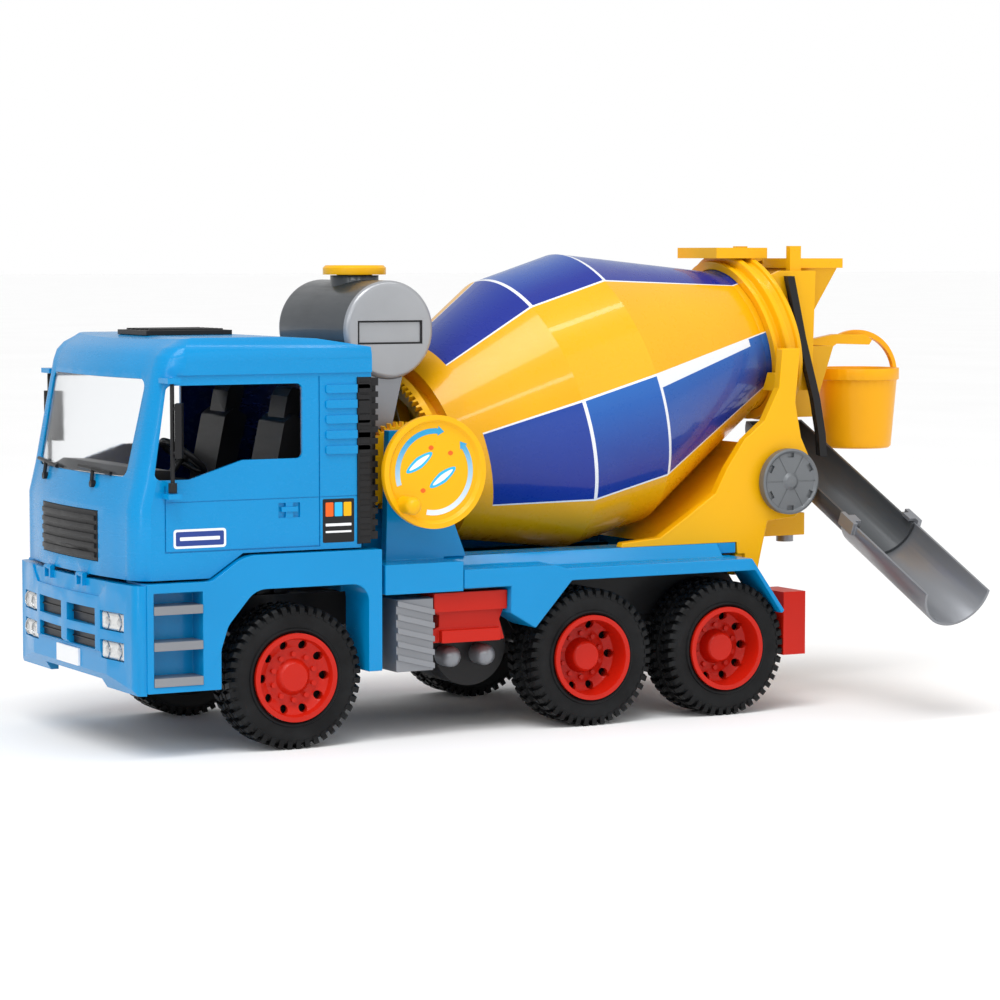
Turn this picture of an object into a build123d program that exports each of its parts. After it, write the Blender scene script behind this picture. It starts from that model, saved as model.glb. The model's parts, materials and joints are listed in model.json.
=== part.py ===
"""Toy cement mixer truck: cab, chassis, turning drum with its hand wheel, hopper, chute and bucket.

Lengths are in millimetres. While the parts are built, X = 0 is the middle axle, Y = 0 the truck's
middle plane and Z = 0 the ground; the truck's front looks along -X and its crank side along -Y.
The finished parts are then moved so that the origin lies under the middle of the whole truck.
"""

from build123d import *

import os
from math import asin, cos, degrees, pi, radians, sin, sqrt, tan

# Running gear
TYRE_R = 37.0
TYRE_FACE_Y = 81.0
FRONT_TYRE_WIDTH = 24.0
REAR_TYRE_WIDTH = 29.0
RIM_R = 21.5
RIM_LIP_R = 22.8
AXLE_R = 2.5
AXLE_XS = {"front": -174.5, "middle": 0.0, "rear": 85.0}
RUNNING_GAP = 0.08

# Chassis rails
RAIL_Y = (20.0, 26.0)
RAIL_Z = (56.0, 74.0)
RAIL_X = (-252.0, 117.0)

# Body widths, each side of the middle
BODY_Y = 84.0
CAB_Y = 80.0
FENDER_IN_Y = 56.0

# Cab
CAB_BOTTOM_Z = 90.0
CAB_WALL = 2.6
CAB_TILT_X, CAB_TILT_Z = -268.2, 89.4
TILT_PIN_R, TILT_KNUCKLE_R = 0.7, 1.3
HINGE_Y = (20.0, 26.0)
ROOF_Y = CAB_Y + 1.0
ROOF_EDGE_Z = 192.0
CAB_OUTLINE = [
    (-292.0, CAB_BOTTOM_Z), (-221.5, CAB_BOTTOM_Z), (-203.2, 102.0), (-137.0, 102.0),
    (-131.0, 190.0), (-131.0, 205.0), (-160.0, 209.5), (-180.0, 210.5), (-228.0, 210.5),
    (-252.0, 207.5), (-292.0, 202.0),
]
CAB_FRONT = [
    (-267.0, 80.0), (-267.0, 126.0), (-263.5, 140.0), (-252.5, 196.0), (-250.5, 201.5),
    (-246.5, 205.5), (-240.5, 208.5), (-228.0, 216.0),
]
CAB_BOW, CAB_CORNER = 5.5, 12.5
GRILLE_DEPTH = 1.6
GRILLE_Y, GRILLE_Z = 39.0, (97.0, 123.0)
SCREEN_Z = (141.0, 190.0)
SCREEN_Y = (61.0, 64.0)
SIDE_WINDOW = [
    (-170.0, 149.0), (-170.0, 187.0), (-243.5, 187.0), (-251.0, 140.0), (-232.0, 140.0), (-203.0, 149.0),
]
MIRROR_X, MIRROR_Y = -243.5, 85.5

# Bumper and head lamps
BUMPER_NOSE_X, BUMPER_BOW, BUMPER_CORNER = -269.0, 6.0, 5.5
BUMPER_Y = BODY_Y - 1.0
LAMP_BACK_X = -258.5
LAMP_R = 4.2
LAMP_YS, LAMP_ZS = (51.5, 64.0), (53.6, 68.3)

# Drum: stations run along its axis from AXIS_X, AXIS_Z, rising to the rear
DRUM_TILT = 16.0
AXIS_X, AXIS_Z = 4.0, 165.0
CONE_START, BELT_START, BELT_END, LIP_START, LIP_END = -70.0, -5.0, 42.0, 134.0, 147.0
FRONT_R, BELT_R, REAR_R, MOUTH_R = 50.5, 77.5, 78.8, 42.0
DRUM_WALL = 2.0

# Crown gear on the drum's front and the pinion that turns it
CROWN_TEETH, PINION_TEETH = 80, 40
CROWN_R = 46.5
TOOTH_FACE = 4.0
ADDENDUM, DEDENDUM = 1.1, 1.5
TOOTH_SHARE = 0.34
PINION_R = CROWN_R * PINION_TEETH / CROWN_TEETH
WHEEL_X, WHEEL_Z = -97.7, 140.0
WHEEL_R = 29.5
WHEEL_Y = (-87.5, -82.0)
CRANK_R = 3.0
SPINDLE_R = 4.0

# Water tank
TANK_X, TANK_Z, TANK_R, TANK_HALF = -101.5, 212.5, 26.0, 43.0

# Rear frame, side knobs, hopper and chute
COLLAR_END = 155.0
PLATE_Y = (54.0, 60.0)
KNOB_X, KNOB_Z, KNOB_R = 136.0, 126.0, 18.3
SWIVEL_X = 176.0
CHUTE_SLOPE = 25.0
CHUTE_TOP_Z = 150.0
CHUTE_R, CHUTE_WALL = 17.7, 1.5
UPPER_CHUTE = (-12.0, 112.0)
LOWER_CHUTE = (98.0, 186.0)
TILT_PIN_Z = 118.0

# Bucket on its hook
BUCKET_X, BUCKET_Z = 225.0, (139.4, 186.0)
BUCKET_R = (20.8, 24.4)
PEG_Z = 203.0


def side_prism(points, y_low, y_high, radius=0.0):
    """Extrude a side-view outline of (x, z) points from y_low to y_high."""
    outline = Polygon(*points)
    if radius:
        outline = fillet(outline.vertices(), radius)
    return extrude(Pos(0, y_low, 0) * (Plane.XZ * outline), y_high - y_low, dir=(0, 1, 0))


def front_prism(points, x_low, x_high, radius=0.0):
    """Extrude a front-view outline of (y, z) points from x_low to x_high."""
    outline = Polygon(*points)
    if radius:
        outline = fillet(outline.vertices(), radius)
    return extrude(Pos(x_low, 0, 0) * (Plane.YZ * outline), x_high - x_low, dir=(1, 0, 0))


def block(x_low, x_high, y_low, y_high, z_low, z_high):
    """A box from its lowest to its highest corner."""
    size = (x_high - x_low, y_high - y_low, z_high - z_low)
    return Pos(x_low, y_low, z_low) * Box(*size, align=(Align.MIN, Align.MIN, Align.MIN))


def rod(start, end, radius):
    """A round bar from one point to another."""
    start, end = Vector(*start), Vector(*end)
    along = end - start
    bar = Cylinder(radius, along.length, align=(Align.CENTER, Align.CENTER, Align.MIN))
    return Plane(origin=start, z_dir=along) * bar


def turned(points):
    """Turn an outline of (radius, height) points about the Z axis."""
    return revolve(Plane.XZ * Polygon(*points), Axis.Z)


def both_sides(shape):
    """The shape and its mirror image across the truck's middle plane."""
    return [shape, mirror(shape, about=Plane.XZ)]


def joined(shapes):
    """Fuse a list of touching or overlapping shapes."""
    return shapes[0].fuse(*shapes[1:]) if len(shapes) > 1 else shapes[0]


def group(shapes):
    """Keep separate solids together in one node."""
    return Compound([solid for shape in shapes for solid in shape.solids()])


def nose_plan(nose_x, rear_x, half_width, bow, corner):
    """Plan outline whose front bows back to its shoulders and then rounds into the sides."""
    shoulder_x, side_x = nose_x + bow, nose_x + bow + corner
    reach_y = 1.2 * corner
    shoulder_y = half_width - reach_y
    mid_x, mid_y = side_x - corner * cos(pi / 4), shoulder_y + reach_y * sin(pi / 4)
    front = ThreePointArc((shoulder_x, shoulder_y), (nose_x, 0), (shoulder_x, -shoulder_y))
    near = ThreePointArc((shoulder_x, -shoulder_y), (mid_x, -mid_y), (side_x, -half_width))
    far = ThreePointArc((side_x, half_width), (mid_x, mid_y), (shoulder_x, shoulder_y))
    back = Polyline((side_x, -half_width), (rear_x, -half_width), (rear_x, half_width),
                    (side_x, half_width))
    return make_face([front, near, back, far])


def on_axis(station, lift=0.0, side=0.0):
    """Point at a station along the drum's axis, lifted square to it and moved along Y."""
    tilt = radians(DRUM_TILT)
    x = AXIS_X + station * cos(tilt) - lift * sin(tilt)
    z = AXIS_Z + station * sin(tilt) + lift * cos(tilt)
    return Vector(x, side, z)


def drum_frame(station=0.0):
    """Plane across the drum: local X points up, local Z along the axis to the rear."""
    tilt = radians(DRUM_TILT)
    return Plane(origin=on_axis(station), x_dir=(-sin(tilt), 0, cos(tilt)),
                 z_dir=(cos(tilt), 0, sin(tilt)))


# Wheels ------------------------------------------------------------------------------------------

def tyre(width, grooves):
    """Tyre with its outer face at height width, its bead stepped for the rim's lip."""
    outline = [
        (RIM_R, 1.0), (30.0, 0.0), (34.5, 1.6), (TYRE_R, 5.0), (TYRE_R, width - 5.0),
        (34.5, width - 1.6), (30.0, width), (RIM_LIP_R, width), (RIM_LIP_R, width - 1.5),
        (RIM_R, width - 1.5),
    ]
    body = turned(outline)
    for centre in grooves:
        cut = turned([(TYRE_R - 4.0, centre - 0.8), (TYRE_R + 1, centre - 1.6),
                      (TYRE_R + 1, centre + 1.6), (TYRE_R - 4.0, centre + 0.8)])
        body -= cut
    return body


def rim(width, dish, cap_height):
    """Wheel rim: barrel with its lip, dished disc with ten holes, nut ring and hub cap."""
    disc = width - dish
    outline = [
        (AXLE_R, 4.0), (6.0, 4.0), (6.0, disc - 3.0), (RIM_R - 1.6, disc - 1.0), (RIM_R - 1.6, 2.0),
        (RIM_R, 2.0), (RIM_R, width - 1.5), (RIM_LIP_R, width - 1.5), (RIM_LIP_R, width + 0.8),
        (RIM_R - 1.2, width + 0.8), (RIM_R - 2.2, disc + 2.5), (15.0, disc), (9.5, disc + 0.6),
        (8.0, disc + cap_height - 1.0), (7.0, disc + cap_height), (0.0, disc + cap_height),
        (0.0, disc - 1.5), (AXLE_R, disc - 1.5),
    ]
    body = turned(outline)
    for turn in range(10):
        angle = 36.0 * turn
        body -= Rot(0, 0, angle) * (Pos(17.2, 0, disc - 5) * Cylinder(2.25, 16))
        body += Rot(0, 0, angle + 18) * (Pos(11.8, 0, disc + 1.0) * Cylinder(1.3, 2.6))
    return body


def wheel_place(axle_x, width, side):
    """Location that stands a turned wheel part on the axle with its face outward."""
    inner = TYRE_FACE_Y - width
    return Pos(axle_x, side * inner, TYRE_R) * Rot(-90 * side, 0, 0)


def wheels(name, axle_x, width, grooves, dish, cap_height):
    """Axle, pair of rims and pair of tyres of one axle."""
    end_y = TYRE_FACE_Y - dish - 1.5
    places = [wheel_place(axle_x, width, side) for side in (-1, 1)]
    return {
        name + "_axle": rod((axle_x, -end_y, TYRE_R), (axle_x, end_y, TYRE_R), AXLE_R),
        name + "_tyres": group([place * tyre(width, grooves) for place in places]),
        name + "_rims": group([place * rim(width, dish, cap_height) for place in places]),
    }


# Chassis -----------------------------------------------------------------------------------------

def chassis_frame():
    """Two rails with cross members and an axle bearing block under each rail."""
    pieces = [block(*RAIL_X, side * RAIL_Y[0], side * RAIL_Y[1], *RAIL_Z) if side > 0
              else block(*RAIL_X, -RAIL_Y[1], -RAIL_Y[0], *RAIL_Z) for side in (-1, 1)]
    for x in (-250.0, -138.0, -52.0, 38.0, 107.0):
        pieces.append(block(x, x + 9, -RAIL_Y[0], RAIL_Y[0], RAIL_Z[0] + 2, RAIL_Z[1] - 3))
    for axle_x in AXLE_XS.values():
        hanger = [(axle_x - 14, RAIL_Z[0] + 4), (axle_x - 7, 29.0), (axle_x + 7, 29.0),
                  (axle_x + 14, RAIL_Z[0] + 4)]
        pieces += both_sides(side_prism(hanger, 15.0, 31.0))
    frame = joined(pieces)
    for axle_x in AXLE_XS.values():
        frame -= rod((axle_x, -40, TYRE_R), (axle_x, 40, TYRE_R), AXLE_R + RUNNING_GAP)
    return frame


def engine_block():
    """Ribbed engine block between the rails, with rocker cover, fan pulley and intake pipe."""
    body = block(-236, -150, -19.0, 19.0, 62, 98)
    body += block(-228, -158, -12.0, 12.0, 98, 108)
    for x in range(-230, -154, 10):
        body += block(x, x + 4, -22.5, 22.5, RAIL_Z[1], 94)
    body += rod((-240.5, 0, 82), (-236, 0, 82), 12.0)
    body += rod((-243.5, 0, 82), (-240.5, 0, 82), 6.0)
    return body


def front_bumper():
    """Bowed bumper with lamp pockets, air slots, a plate flat and the ears of the cab's hinge."""
    plan = nose_plan(BUMPER_NOSE_X, -257.0, BUMPER_Y, BUMPER_BOW, BUMPER_CORNER)
    body = extrude(Pos(0, 0, 33.0) * plan, 55.0, dir=(0, 0, 1))
    under = [(-282, 28), (-258, 28), (-266.2, 41), (-266.2, 51.5), (-269.5, 54.5), (-282, 54.5)]
    body -= side_prism(under, -90, 90)
    body -= block(-280, -250, -40, 40, 28, 37.5)
    body -= block(-262, -250, -40, 40, 30, 82)
    ledge = front_prism([(-44, 80), (44, 80), (56, 90), (-56, 90)], -280.0, -250.0)
    inner = nose_plan(BUMPER_NOSE_X + 0.9, -257.0, BUMPER_Y, BUMPER_BOW, BUMPER_CORNER)
    body -= ledge - extrude(Pos(0, 0, 30.0) * inner, 70.0, dir=(0, 0, 1))
    for side in (-1, 1):
        for z in LAMP_ZS:
            y_low, y_high = sorted((side * (LAMP_YS[0] - 6.3), side * (LAMP_YS[1] + 6.0)))
            body -= block(-290, LAMP_BACK_X, y_low, y_high, z - 4.7, z + 4.9)
        y_low, y_high = sorted((side * 4.0, side * 39.5))
        body -= block(-290, -264.5, y_low, y_high, 64.5, 73.5)
        body -= block(-290, -264.5, y_low, y_high, 52.5, 60.0)
    return joined([body] + both_sides(hinge_ears()))


def hinge_ears():
    """Two ears on the bumper and the pin between them, on which the cab tilts."""
    inner, outer = HINGE_Y
    ears = rod((CAB_TILT_X, inner - 1.7, CAB_TILT_Z), (CAB_TILT_X, outer + 1.7, CAB_TILT_Z), TILT_PIN_R)
    for low in (inner - 1.7, outer + 0.1):
        ears += rod((CAB_TILT_X, low, CAB_TILT_Z), (CAB_TILT_X, low + 1.6, CAB_TILT_Z), TILT_KNUCKLE_R)
        ears += block(CAB_TILT_X - TILT_KNUCKLE_R, CAB_TILT_X + TILT_KNUCKLE_R, low, low + 1.6,
                      84.0, CAB_TILT_Z)
    return ears


def hinge_knuckle():
    """Knuckle on the cab's lower front edge that turns on the bumper's pin."""
    low, high = HINGE_Y
    knuckle = rod((CAB_TILT_X, low, CAB_TILT_Z), (CAB_TILT_X, high, CAB_TILT_Z), TILT_KNUCKLE_R)
    knuckle += block(CAB_TILT_X, -265.0, low, high, CAB_TILT_Z - 0.3, CAB_TILT_Z + TILT_KNUCKLE_R)
    knuckle -= rod((CAB_TILT_X, low - 1, CAB_TILT_Z), (CAB_TILT_X, high + 1, CAB_TILT_Z),
                   TILT_PIN_R + RUNNING_GAP)
    return knuckle


def headlights():
    """Two stacked pairs of round lamps on each side of the bumper."""
    lamps = []
    shoulder_y = BUMPER_Y - 1.2 * BUMPER_CORNER
    for side in (-1, 1):
        for y in LAMP_YS:
            x_face = BUMPER_NOSE_X + BUMPER_BOW * (y / shoulder_y) ** 2 + 1.2
            for z in LAMP_ZS:
                lamps.append(rod((LAMP_BACK_X, side * y, z), (x_face, side * y, z), LAMP_R))
    return group(lamps)


def number_plate():
    """Blank plate on the flat under the bumper's middle."""
    return block(-267.4, -266.2, -15.5, 15.5, 41.4, 50.4)


def rounded_outline(corners, steps=6):
    """Points of an outline whose corners (x, z, radius) are rounded by short chords."""
    points = []
    for index, (x, z, radius) in enumerate(corners):
        here = Vector(x, z, 0)
        before = (Vector(*corners[index - 1][:2], 0) - here).normalized()
        after = (Vector(*corners[(index + 1) % len(corners)][:2], 0) - here).normalized()
        if radius == 0:
            points.append((x, z))
            continue
        half = radians(before.get_angle(after)) / 2
        centre = here + (before + after).normalized() * (radius / sin(half))
        start = here + before * (radius / tan(half)) - centre
        end = here + after * (radius / tan(half)) - centre
        for step in range(steps + 1):
            chord = start * (1 - step / steps) + end * (step / steps)
            point = centre + chord.normalized() * radius
            points.append((point.X, point.Y))
    return points


def fender_steps():
    """Front fender with the step well ahead of the wheel, on each side."""
    outline = rounded_outline([
        (-257.0, 34.0, 0), (-217.0, 34.0, 0), (-217.0, 54.0, 8.0), (-213.0, 66.0, 12.0), (-198.0, 83.5, 13.0),
        (-134.5, 83.5, 9.0), (-134.5, 38.0, 0), (-127.0, 38.0, 0), (-127.0, 101.0, 0),
        (-203.4, 101.0, 20.0), (-221.8, 88.8, 10.0), (-257.0, 88.8, 0),
    ])
    shell = side_prism(outline, FENDER_IN_Y, BODY_Y)
    shell -= block(-253.5, -227.0, 71.0, 90.0, 37.2, 84.0)
    shell -= side_prism([(-223, 40), (-219, 40), (-219, 56), (-223, 56)], 50, 81)
    return group(both_sides(shell))


def step_treads():
    """Three grey treads in each step well."""
    treads = []
    for z in (37.2, 55.2, 73.2):
        tread = block(-253.5, -227.0, 71.0, BODY_Y + 0.6, z, z + 4.4)
        treads += both_sides(tread)
    return group(treads)


def ribbed_muffler():
    """Silencer box with slanting ribs on its outer face, one each side."""
    body = block(-117.0, -95.3, 60.0, 80.0, 36.0, 74.0)
    for step in range(5):
        z = 38.0 + 7.0 * step
        rib = side_prism([(-117.0, z + 4.5), (-95.3, z - 1.0), (-95.3, z + 2.0), (-117.0, z + 7.5)],
                         80.0, 82.0)
        body += rib & block(-117.0, -95.3, 79, 83, 36, 74)
    body += block(-113.0, -99.0, 26.0, 60.0, 60.0, 70.0)
    return group(both_sides(body))


def side_box():
    """Stepped red equipment box, one each side."""
    outline = [
        (-94.8, 76.0), (-94.8, 66.0), (-90.0, 64.0), (-90.0, 58.0), (-94.8, 56.0), (-94.8, 49.5),
        (-51.0, 49.5), (-54.0, 60.0), (-51.5, 66.0), (-51.5, 76.0),
    ]
    body = side_prism(outline, 62.5, 76.0)
    body += block(-94.8, -51.5, 76.0, 80.0, 66.0, 76.0)
    body += side_prism([(-90.0, 49.5), (-55.0, 49.5), (-55.0, 56.0), (-90.0, 56.0)], 76.0, 79.5)
    body += block(-84.0, -62.0, 26.0, 62.5, 68.0, 73.5)
    return group(both_sides(body))


def fuel_tank():
    """Round fuel tank across each side, hung below the rail."""
    body = rod((-64.5, 30.0, 45.5), (-64.5, 62.0, 45.5), 21.5)
    body -= block(-100, -30, 20, 70, 65.0, 80)
    body += block(-70.0, -59.0, 26.0, 30.0, 57.0, 64.0)
    return group(both_sides(body))


def air_tanks():
    """Pair of domed compressed-air cylinders, on each side."""
    tanks = []
    for x in (-80.0, -59.5):
        cylinder = rod((x, 62.0, 41.0), (x, 69.5, 41.0), 5.6)
        dome = Pos(x, 69.5, 41.0) * Sphere(5.6)
        tanks += both_sides(cylinder + (dome & block(x - 6, x + 6, 69.5, 76, 34, 48)))
    return group(tanks)


def rear_deck():
    """Deck around the drum, with the fenders over the rear wheels."""
    deck = block(-79.0, 104.0, -60.0, 60.0, 87.0, 93.0)
    deck -= block(-60.0, 74.0, -39.0, 39.0, 80.0, 100.0)
    deck += block(-79.0, -60.0, -30.0, 30.0, RAIL_Z[1], 87.0)
    deck += block(74.0, 104.0, -30.0, 30.0, RAIL_Z[1], 87.0)
    fender = [
        (-79.0, 88.0), (-24.0, 88.0), (-17.0, 86.0), (99.5, 86.0), (121.0, 56.2), (118.9, 54.7),
        (101.5, 79.5), (-14.0, 79.5), (-36.3, 55.1), (-51.3, 63.9), (-51.0, 78.0), (-79.0, 78.0),
    ]
    pocket = [
        (-49.0, 66.0), (-37.5, 59.0), (-17.0, 82.0), (-49.0, 82.0),
    ]
    side = side_prism(fender, 58.0, BODY_Y) - side_prism(pocket, 50.0, 81.5)
    slope = front_prism([(60.0, 86.0), (66.0, 86.0), (60.0, 93.0)], -79.0, 92.0)
    side += slope
    return joined([deck] + both_sides(side))


def rear_bumper():
    """Red rear beam with lamp recesses at both ends."""
    beam = block(123.0, 134.0, -80.0, 80.0, 40.0, 58.0)
    for side in (-1, 1):
        y_low, y_high = sorted((side * 52.0, side * 80.0))
        beam += block(122.6, 137.0, y_low, y_high, 31.0, 66.0)
        for y in (58.0, 66.0, 74.0):
            beam -= rod((135.5, side * y, 49.0), (140.0, side * y, 49.0), 3.2)
        y_low, y_high = sorted((side * RAIL_Y[0], side * RAIL_Y[1]))
        beam += block(RAIL_X[1], 123.0, y_low, y_high, 46.0, 58.0)
    return beam


# Pedestal, tank and hand wheel -------------------------------------------------------------------

def pedestal():
    """Base block with two cheeks and a cross wall, bored for the crank shaft and the drum's spindle."""
    body = block(-125.0, -79.5, -BODY_Y, BODY_Y, 77.0, 92.5)
    body += block(-125.0, -79.5, -30.0, 30.0, RAIL_Z[1], 77.0)
    cheek = [(-114.0, 92.0), (-79.5, 92.0), (-79.5, 93.0), (-66.5, 93.0), (-74.0, 112.0),
             (-92.0, 160.5), (-112.0, 160.5)]
    body = joined([body] + both_sides(side_prism(cheek, 56.0, 62.0)))
    wall = front_prism([(-41.0, 92.0), (41.0, 92.0), (41.0, 160.5), (-41.0, 160.5)], -117.0, -111.0)
    body += wall
    rib = side_prism([(-112.0, 92.0), (-84.0, 92.0), (-88.0, 152.0), (-112.0, 152.0)], 35.0, 41.0)
    body = joined([body] + both_sides(rib))
    body += rod((WHEEL_X, -62.0, WHEEL_Z), (WHEEL_X, -76.0, WHEEL_Z), 7.0)
    body += rod(on_axis(-122.0), on_axis(-108.0), 8.0)
    body -= rod((WHEEL_X, -90.0, WHEEL_Z), (WHEEL_X, -30.0, WHEEL_Z), CRANK_R + RUNNING_GAP)
    body -= rod(on_axis(-135.0), on_axis(-90.0), SPINDLE_R + RUNNING_GAP)
    return body


def tank_cradle():
    """Two grey posts that carry the tank on saddles."""
    post = side_prism([(-117.0, 160.5), (-100.0, 160.5), (-93.0, 190.0), (-117.0, 190.0)], 36.0, 41.0)
    post -= rod((TANK_X, 20.0, TANK_Z), (TANK_X, 60.0, TANK_Z), TANK_R + 0.05)
    return group(both_sides(post))


def tank_shell():
    """Hollow water tank lying across the truck, with a filler neck on top."""
    shell = rod((TANK_X, -TANK_HALF, TANK_Z), (TANK_X, TANK_HALF, TANK_Z), TANK_R)
    shell = fillet([e for e in shell.edges() if e.geom_type == GeomType.CIRCLE], 3.0)
    shell += rod((TANK_X, 0, TANK_Z + 20), (TANK_X, 0, TANK_Z + TANK_R + 2.5), 13.0)
    for side in (-1, 1):
        face = side * TANK_HALF
        plate = block(TANK_X - 19, TANK_X + 19, *sorted((face, face - side * 0.9)),
                      TANK_Z - 7.5, TANK_Z + 5.0)
        shell -= plate
    shell -= rod((TANK_X, -TANK_HALF + 3, TANK_Z), (TANK_X, TANK_HALF - 3, TANK_Z), TANK_R - 2.0)
    shell -= rod((TANK_X, 0, TANK_Z + 10), (TANK_X, 0, TANK_Z + 60), 10.0)
    return shell


def tank_cap():
    """Ridged lid that lifts off the filler neck, with a plug inside it."""
    top = TANK_Z + TANK_R + 2.9
    lid = Pos(TANK_X, 0, top) * Cylinder(17.0, 5.0, align=(Align.CENTER, Align.CENTER, Align.MIN))
    lid = chamfer(lid.edges().group_by(Axis.Z)[-1], 1.4)
    plug = Pos(TANK_X, 0, top) * Cylinder(9.6, 3.4, align=(Align.CENTER, Align.CENTER, Align.MAX))
    return lid + plug


def hand_wheel():
    """Dished hand wheel with a raised rim and a turning knob near its edge."""
    out, back = WHEEL_Y
    depth = back - out
    profile = [(0.0, 0.0), (WHEEL_R - 3.0, 0.0), (WHEEL_R, 1.5), (WHEEL_R, depth),
               (WHEEL_R - 2.6, depth), (WHEEL_R - 4.2, depth - 1.8), (0.0, depth - 1.8)]
    disc = Pos(WHEEL_X, back, WHEEL_Z) * Rot(90, 0, 0) * turned(profile)
    knob_x, knob_z = WHEEL_X - 17.3, WHEEL_Z - 16.5
    disc += rod((knob_x, out + 2.5, knob_z), (knob_x, out - 7.5, knob_z), 4.6)
    knob_end = Pos(knob_x, out - 7.5, knob_z) * Sphere(4.6)
    disc += knob_end & block(knob_x - 5, knob_x + 5, out - 13, out - 7.5, knob_z - 5, knob_z + 5)
    disc += rod((WHEEL_X, back, WHEEL_Z), (WHEEL_X, -76.5, WHEEL_Z), 7.0)
    disc -= rod((WHEEL_X, out + 3.6, WHEEL_Z), (WHEEL_X, -70, WHEEL_Z), CRANK_R)
    return disc


def crank_shaft():
    """Shaft from the hand wheel through both bearings."""
    return rod((WHEEL_X, WHEEL_Y[0] + 3.6, WHEEL_Z), (WHEEL_X, -34.0, WHEEL_Z), CRANK_R)


def pinion():
    """Spur pinion on the crank shaft, with one tooth aimed along the drum's axis at the crown gear."""
    pitch = 2 * pi / PINION_TEETH
    tip, root = PINION_R + ADDENDUM, PINION_R - DEDENDUM
    points = []
    for tooth in range(PINION_TEETH):
        middle = radians(DRUM_TILT) + tooth * pitch
        half_tip = 0.5 * (TOOTH_SHARE - 0.12) * pitch
        half_root = 0.5 * (TOOTH_SHARE + 0.16) * pitch
        for radius, shift in ((root, -half_root), (tip, -half_tip), (tip, half_tip), (root, half_root)):
            angle = middle + shift
            points.append((WHEEL_X + radius * cos(angle), WHEEL_Z + radius * sin(angle)))
    gear_y = -CROWN_R - TOOTH_FACE / 2
    body = side_prism(points, gear_y, gear_y + TOOTH_FACE)
    body += rod((WHEEL_X, gear_y - 3.5, WHEEL_Z), (WHEEL_X, gear_y, WHEEL_Z), 7.0)
    return body - rod((WHEEL_X, -60, WHEEL_Z), (WHEEL_X, -30, WHEEL_Z), CRANK_R)


# Drum --------------------------------------------------------------------------------------------

def wheel_offset():
    """Station and lift of the hand wheel's axis, seen from the drum's axis."""
    tilt = radians(DRUM_TILT)
    dx, dz = WHEEL_X - AXIS_X, WHEEL_Z - AXIS_Z
    return dx * cos(tilt) + dz * sin(tilt), dz * cos(tilt) - dx * sin(tilt)


def crown_gear():
    """Flange with face teeth that point forward, with a gap where the pinion's tooth stands."""
    station, lift = wheel_offset()
    pitch_plane = station + PINION_R
    root, tip = pitch_plane + ADDENDUM + 0.3, pitch_plane - DEDENDUM + 0.3
    outer = CROWN_R + TOOTH_FACE / 2
    flange = turned([(36.0, root), (outer, root), (outer, root + 3.5), (36.0, root + 3.5)])
    pitch_angle = 360.0 / CROWN_TEETH
    pitch = 2 * pi * CROWN_R / CROWN_TEETH
    half_tip, half_root = 0.5 * (TOOTH_SHARE - 0.1) * pitch, 0.5 * (TOOTH_SHARE + 0.16) * pitch
    profile = Polygon((-half_root, root + 0.4), (-half_tip, tip), (half_tip, tip),
                      (half_root, root + 0.4))
    tooth = extrude(Pos(outer - TOOTH_FACE, 0, 0) * (Plane.YZ * profile), TOOTH_FACE, dir=(1, 0, 0))
    contact = 90.0 - degrees(asin(lift / CROWN_R))
    teeth = [Rot(0, 0, contact + (count + 0.5) * pitch_angle) * tooth for count in range(CROWN_TEETH)]
    gear = flange.fuse(*teeth)
    return drum_frame() * gear


def drum_front():
    """Front cone with its closed nose, and the neck that carries the crown gear."""
    station, _ = wheel_offset()
    flange_back = station + PINION_R + ADDENDUM + 0.3 + 3.5
    cone = turned([
        (SPINDLE_R, CONE_START), (36.0, CONE_START), (FRONT_R, CONE_START), (BELT_R, BELT_START),
        (BELT_R - DRUM_WALL, BELT_START), (FRONT_R - DRUM_WALL - 0.6, CONE_START + DRUM_WALL),
        (SPINDLE_R, CONE_START + DRUM_WALL),
    ])
    neck = turned([(36.0, flange_back), (41.0, flange_back), (41.0, CONE_START), (36.0, CONE_START)])
    boss = turned([(SPINDLE_R, CONE_START - 14), (9.0, CONE_START - 14), (9.0, CONE_START),
                   (SPINDLE_R, CONE_START)])
    web = [Rot(0, 0, angle) * Pos(22.0, 0, CONE_START - 3.2) * Box(27.9, 2, 6.4)
           for angle in range(0, 360, 60)]
    return drum_frame() * joined([cone, neck, boss] + web)


def drum_spindle():
    """Steel pin that carries the drum's nose in the pedestal wall."""
    return rod(on_axis(-124.0), on_axis(CONE_START + DRUM_WALL), SPINDLE_R)


def drum_belt():
    """Widest, nearly cylindrical band of the drum."""
    return drum_frame() * turned([
        (BELT_R, BELT_START), (REAR_R, BELT_END), (REAR_R - DRUM_WALL, BELT_END),
        (BELT_R - DRUM_WALL, BELT_START),
    ])


def drum_rear():
    """Rear cone that narrows to the mouth's lip."""
    return drum_frame() * turned([
        (REAR_R, BELT_END), (MOUTH_R, LIP_START), (MOUTH_R, LIP_END), (MOUTH_R - DRUM_WALL, LIP_END),
        (MOUTH_R - DRUM_WALL, LIP_START), (REAR_R - DRUM_WALL, BELT_END),
    ])


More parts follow.
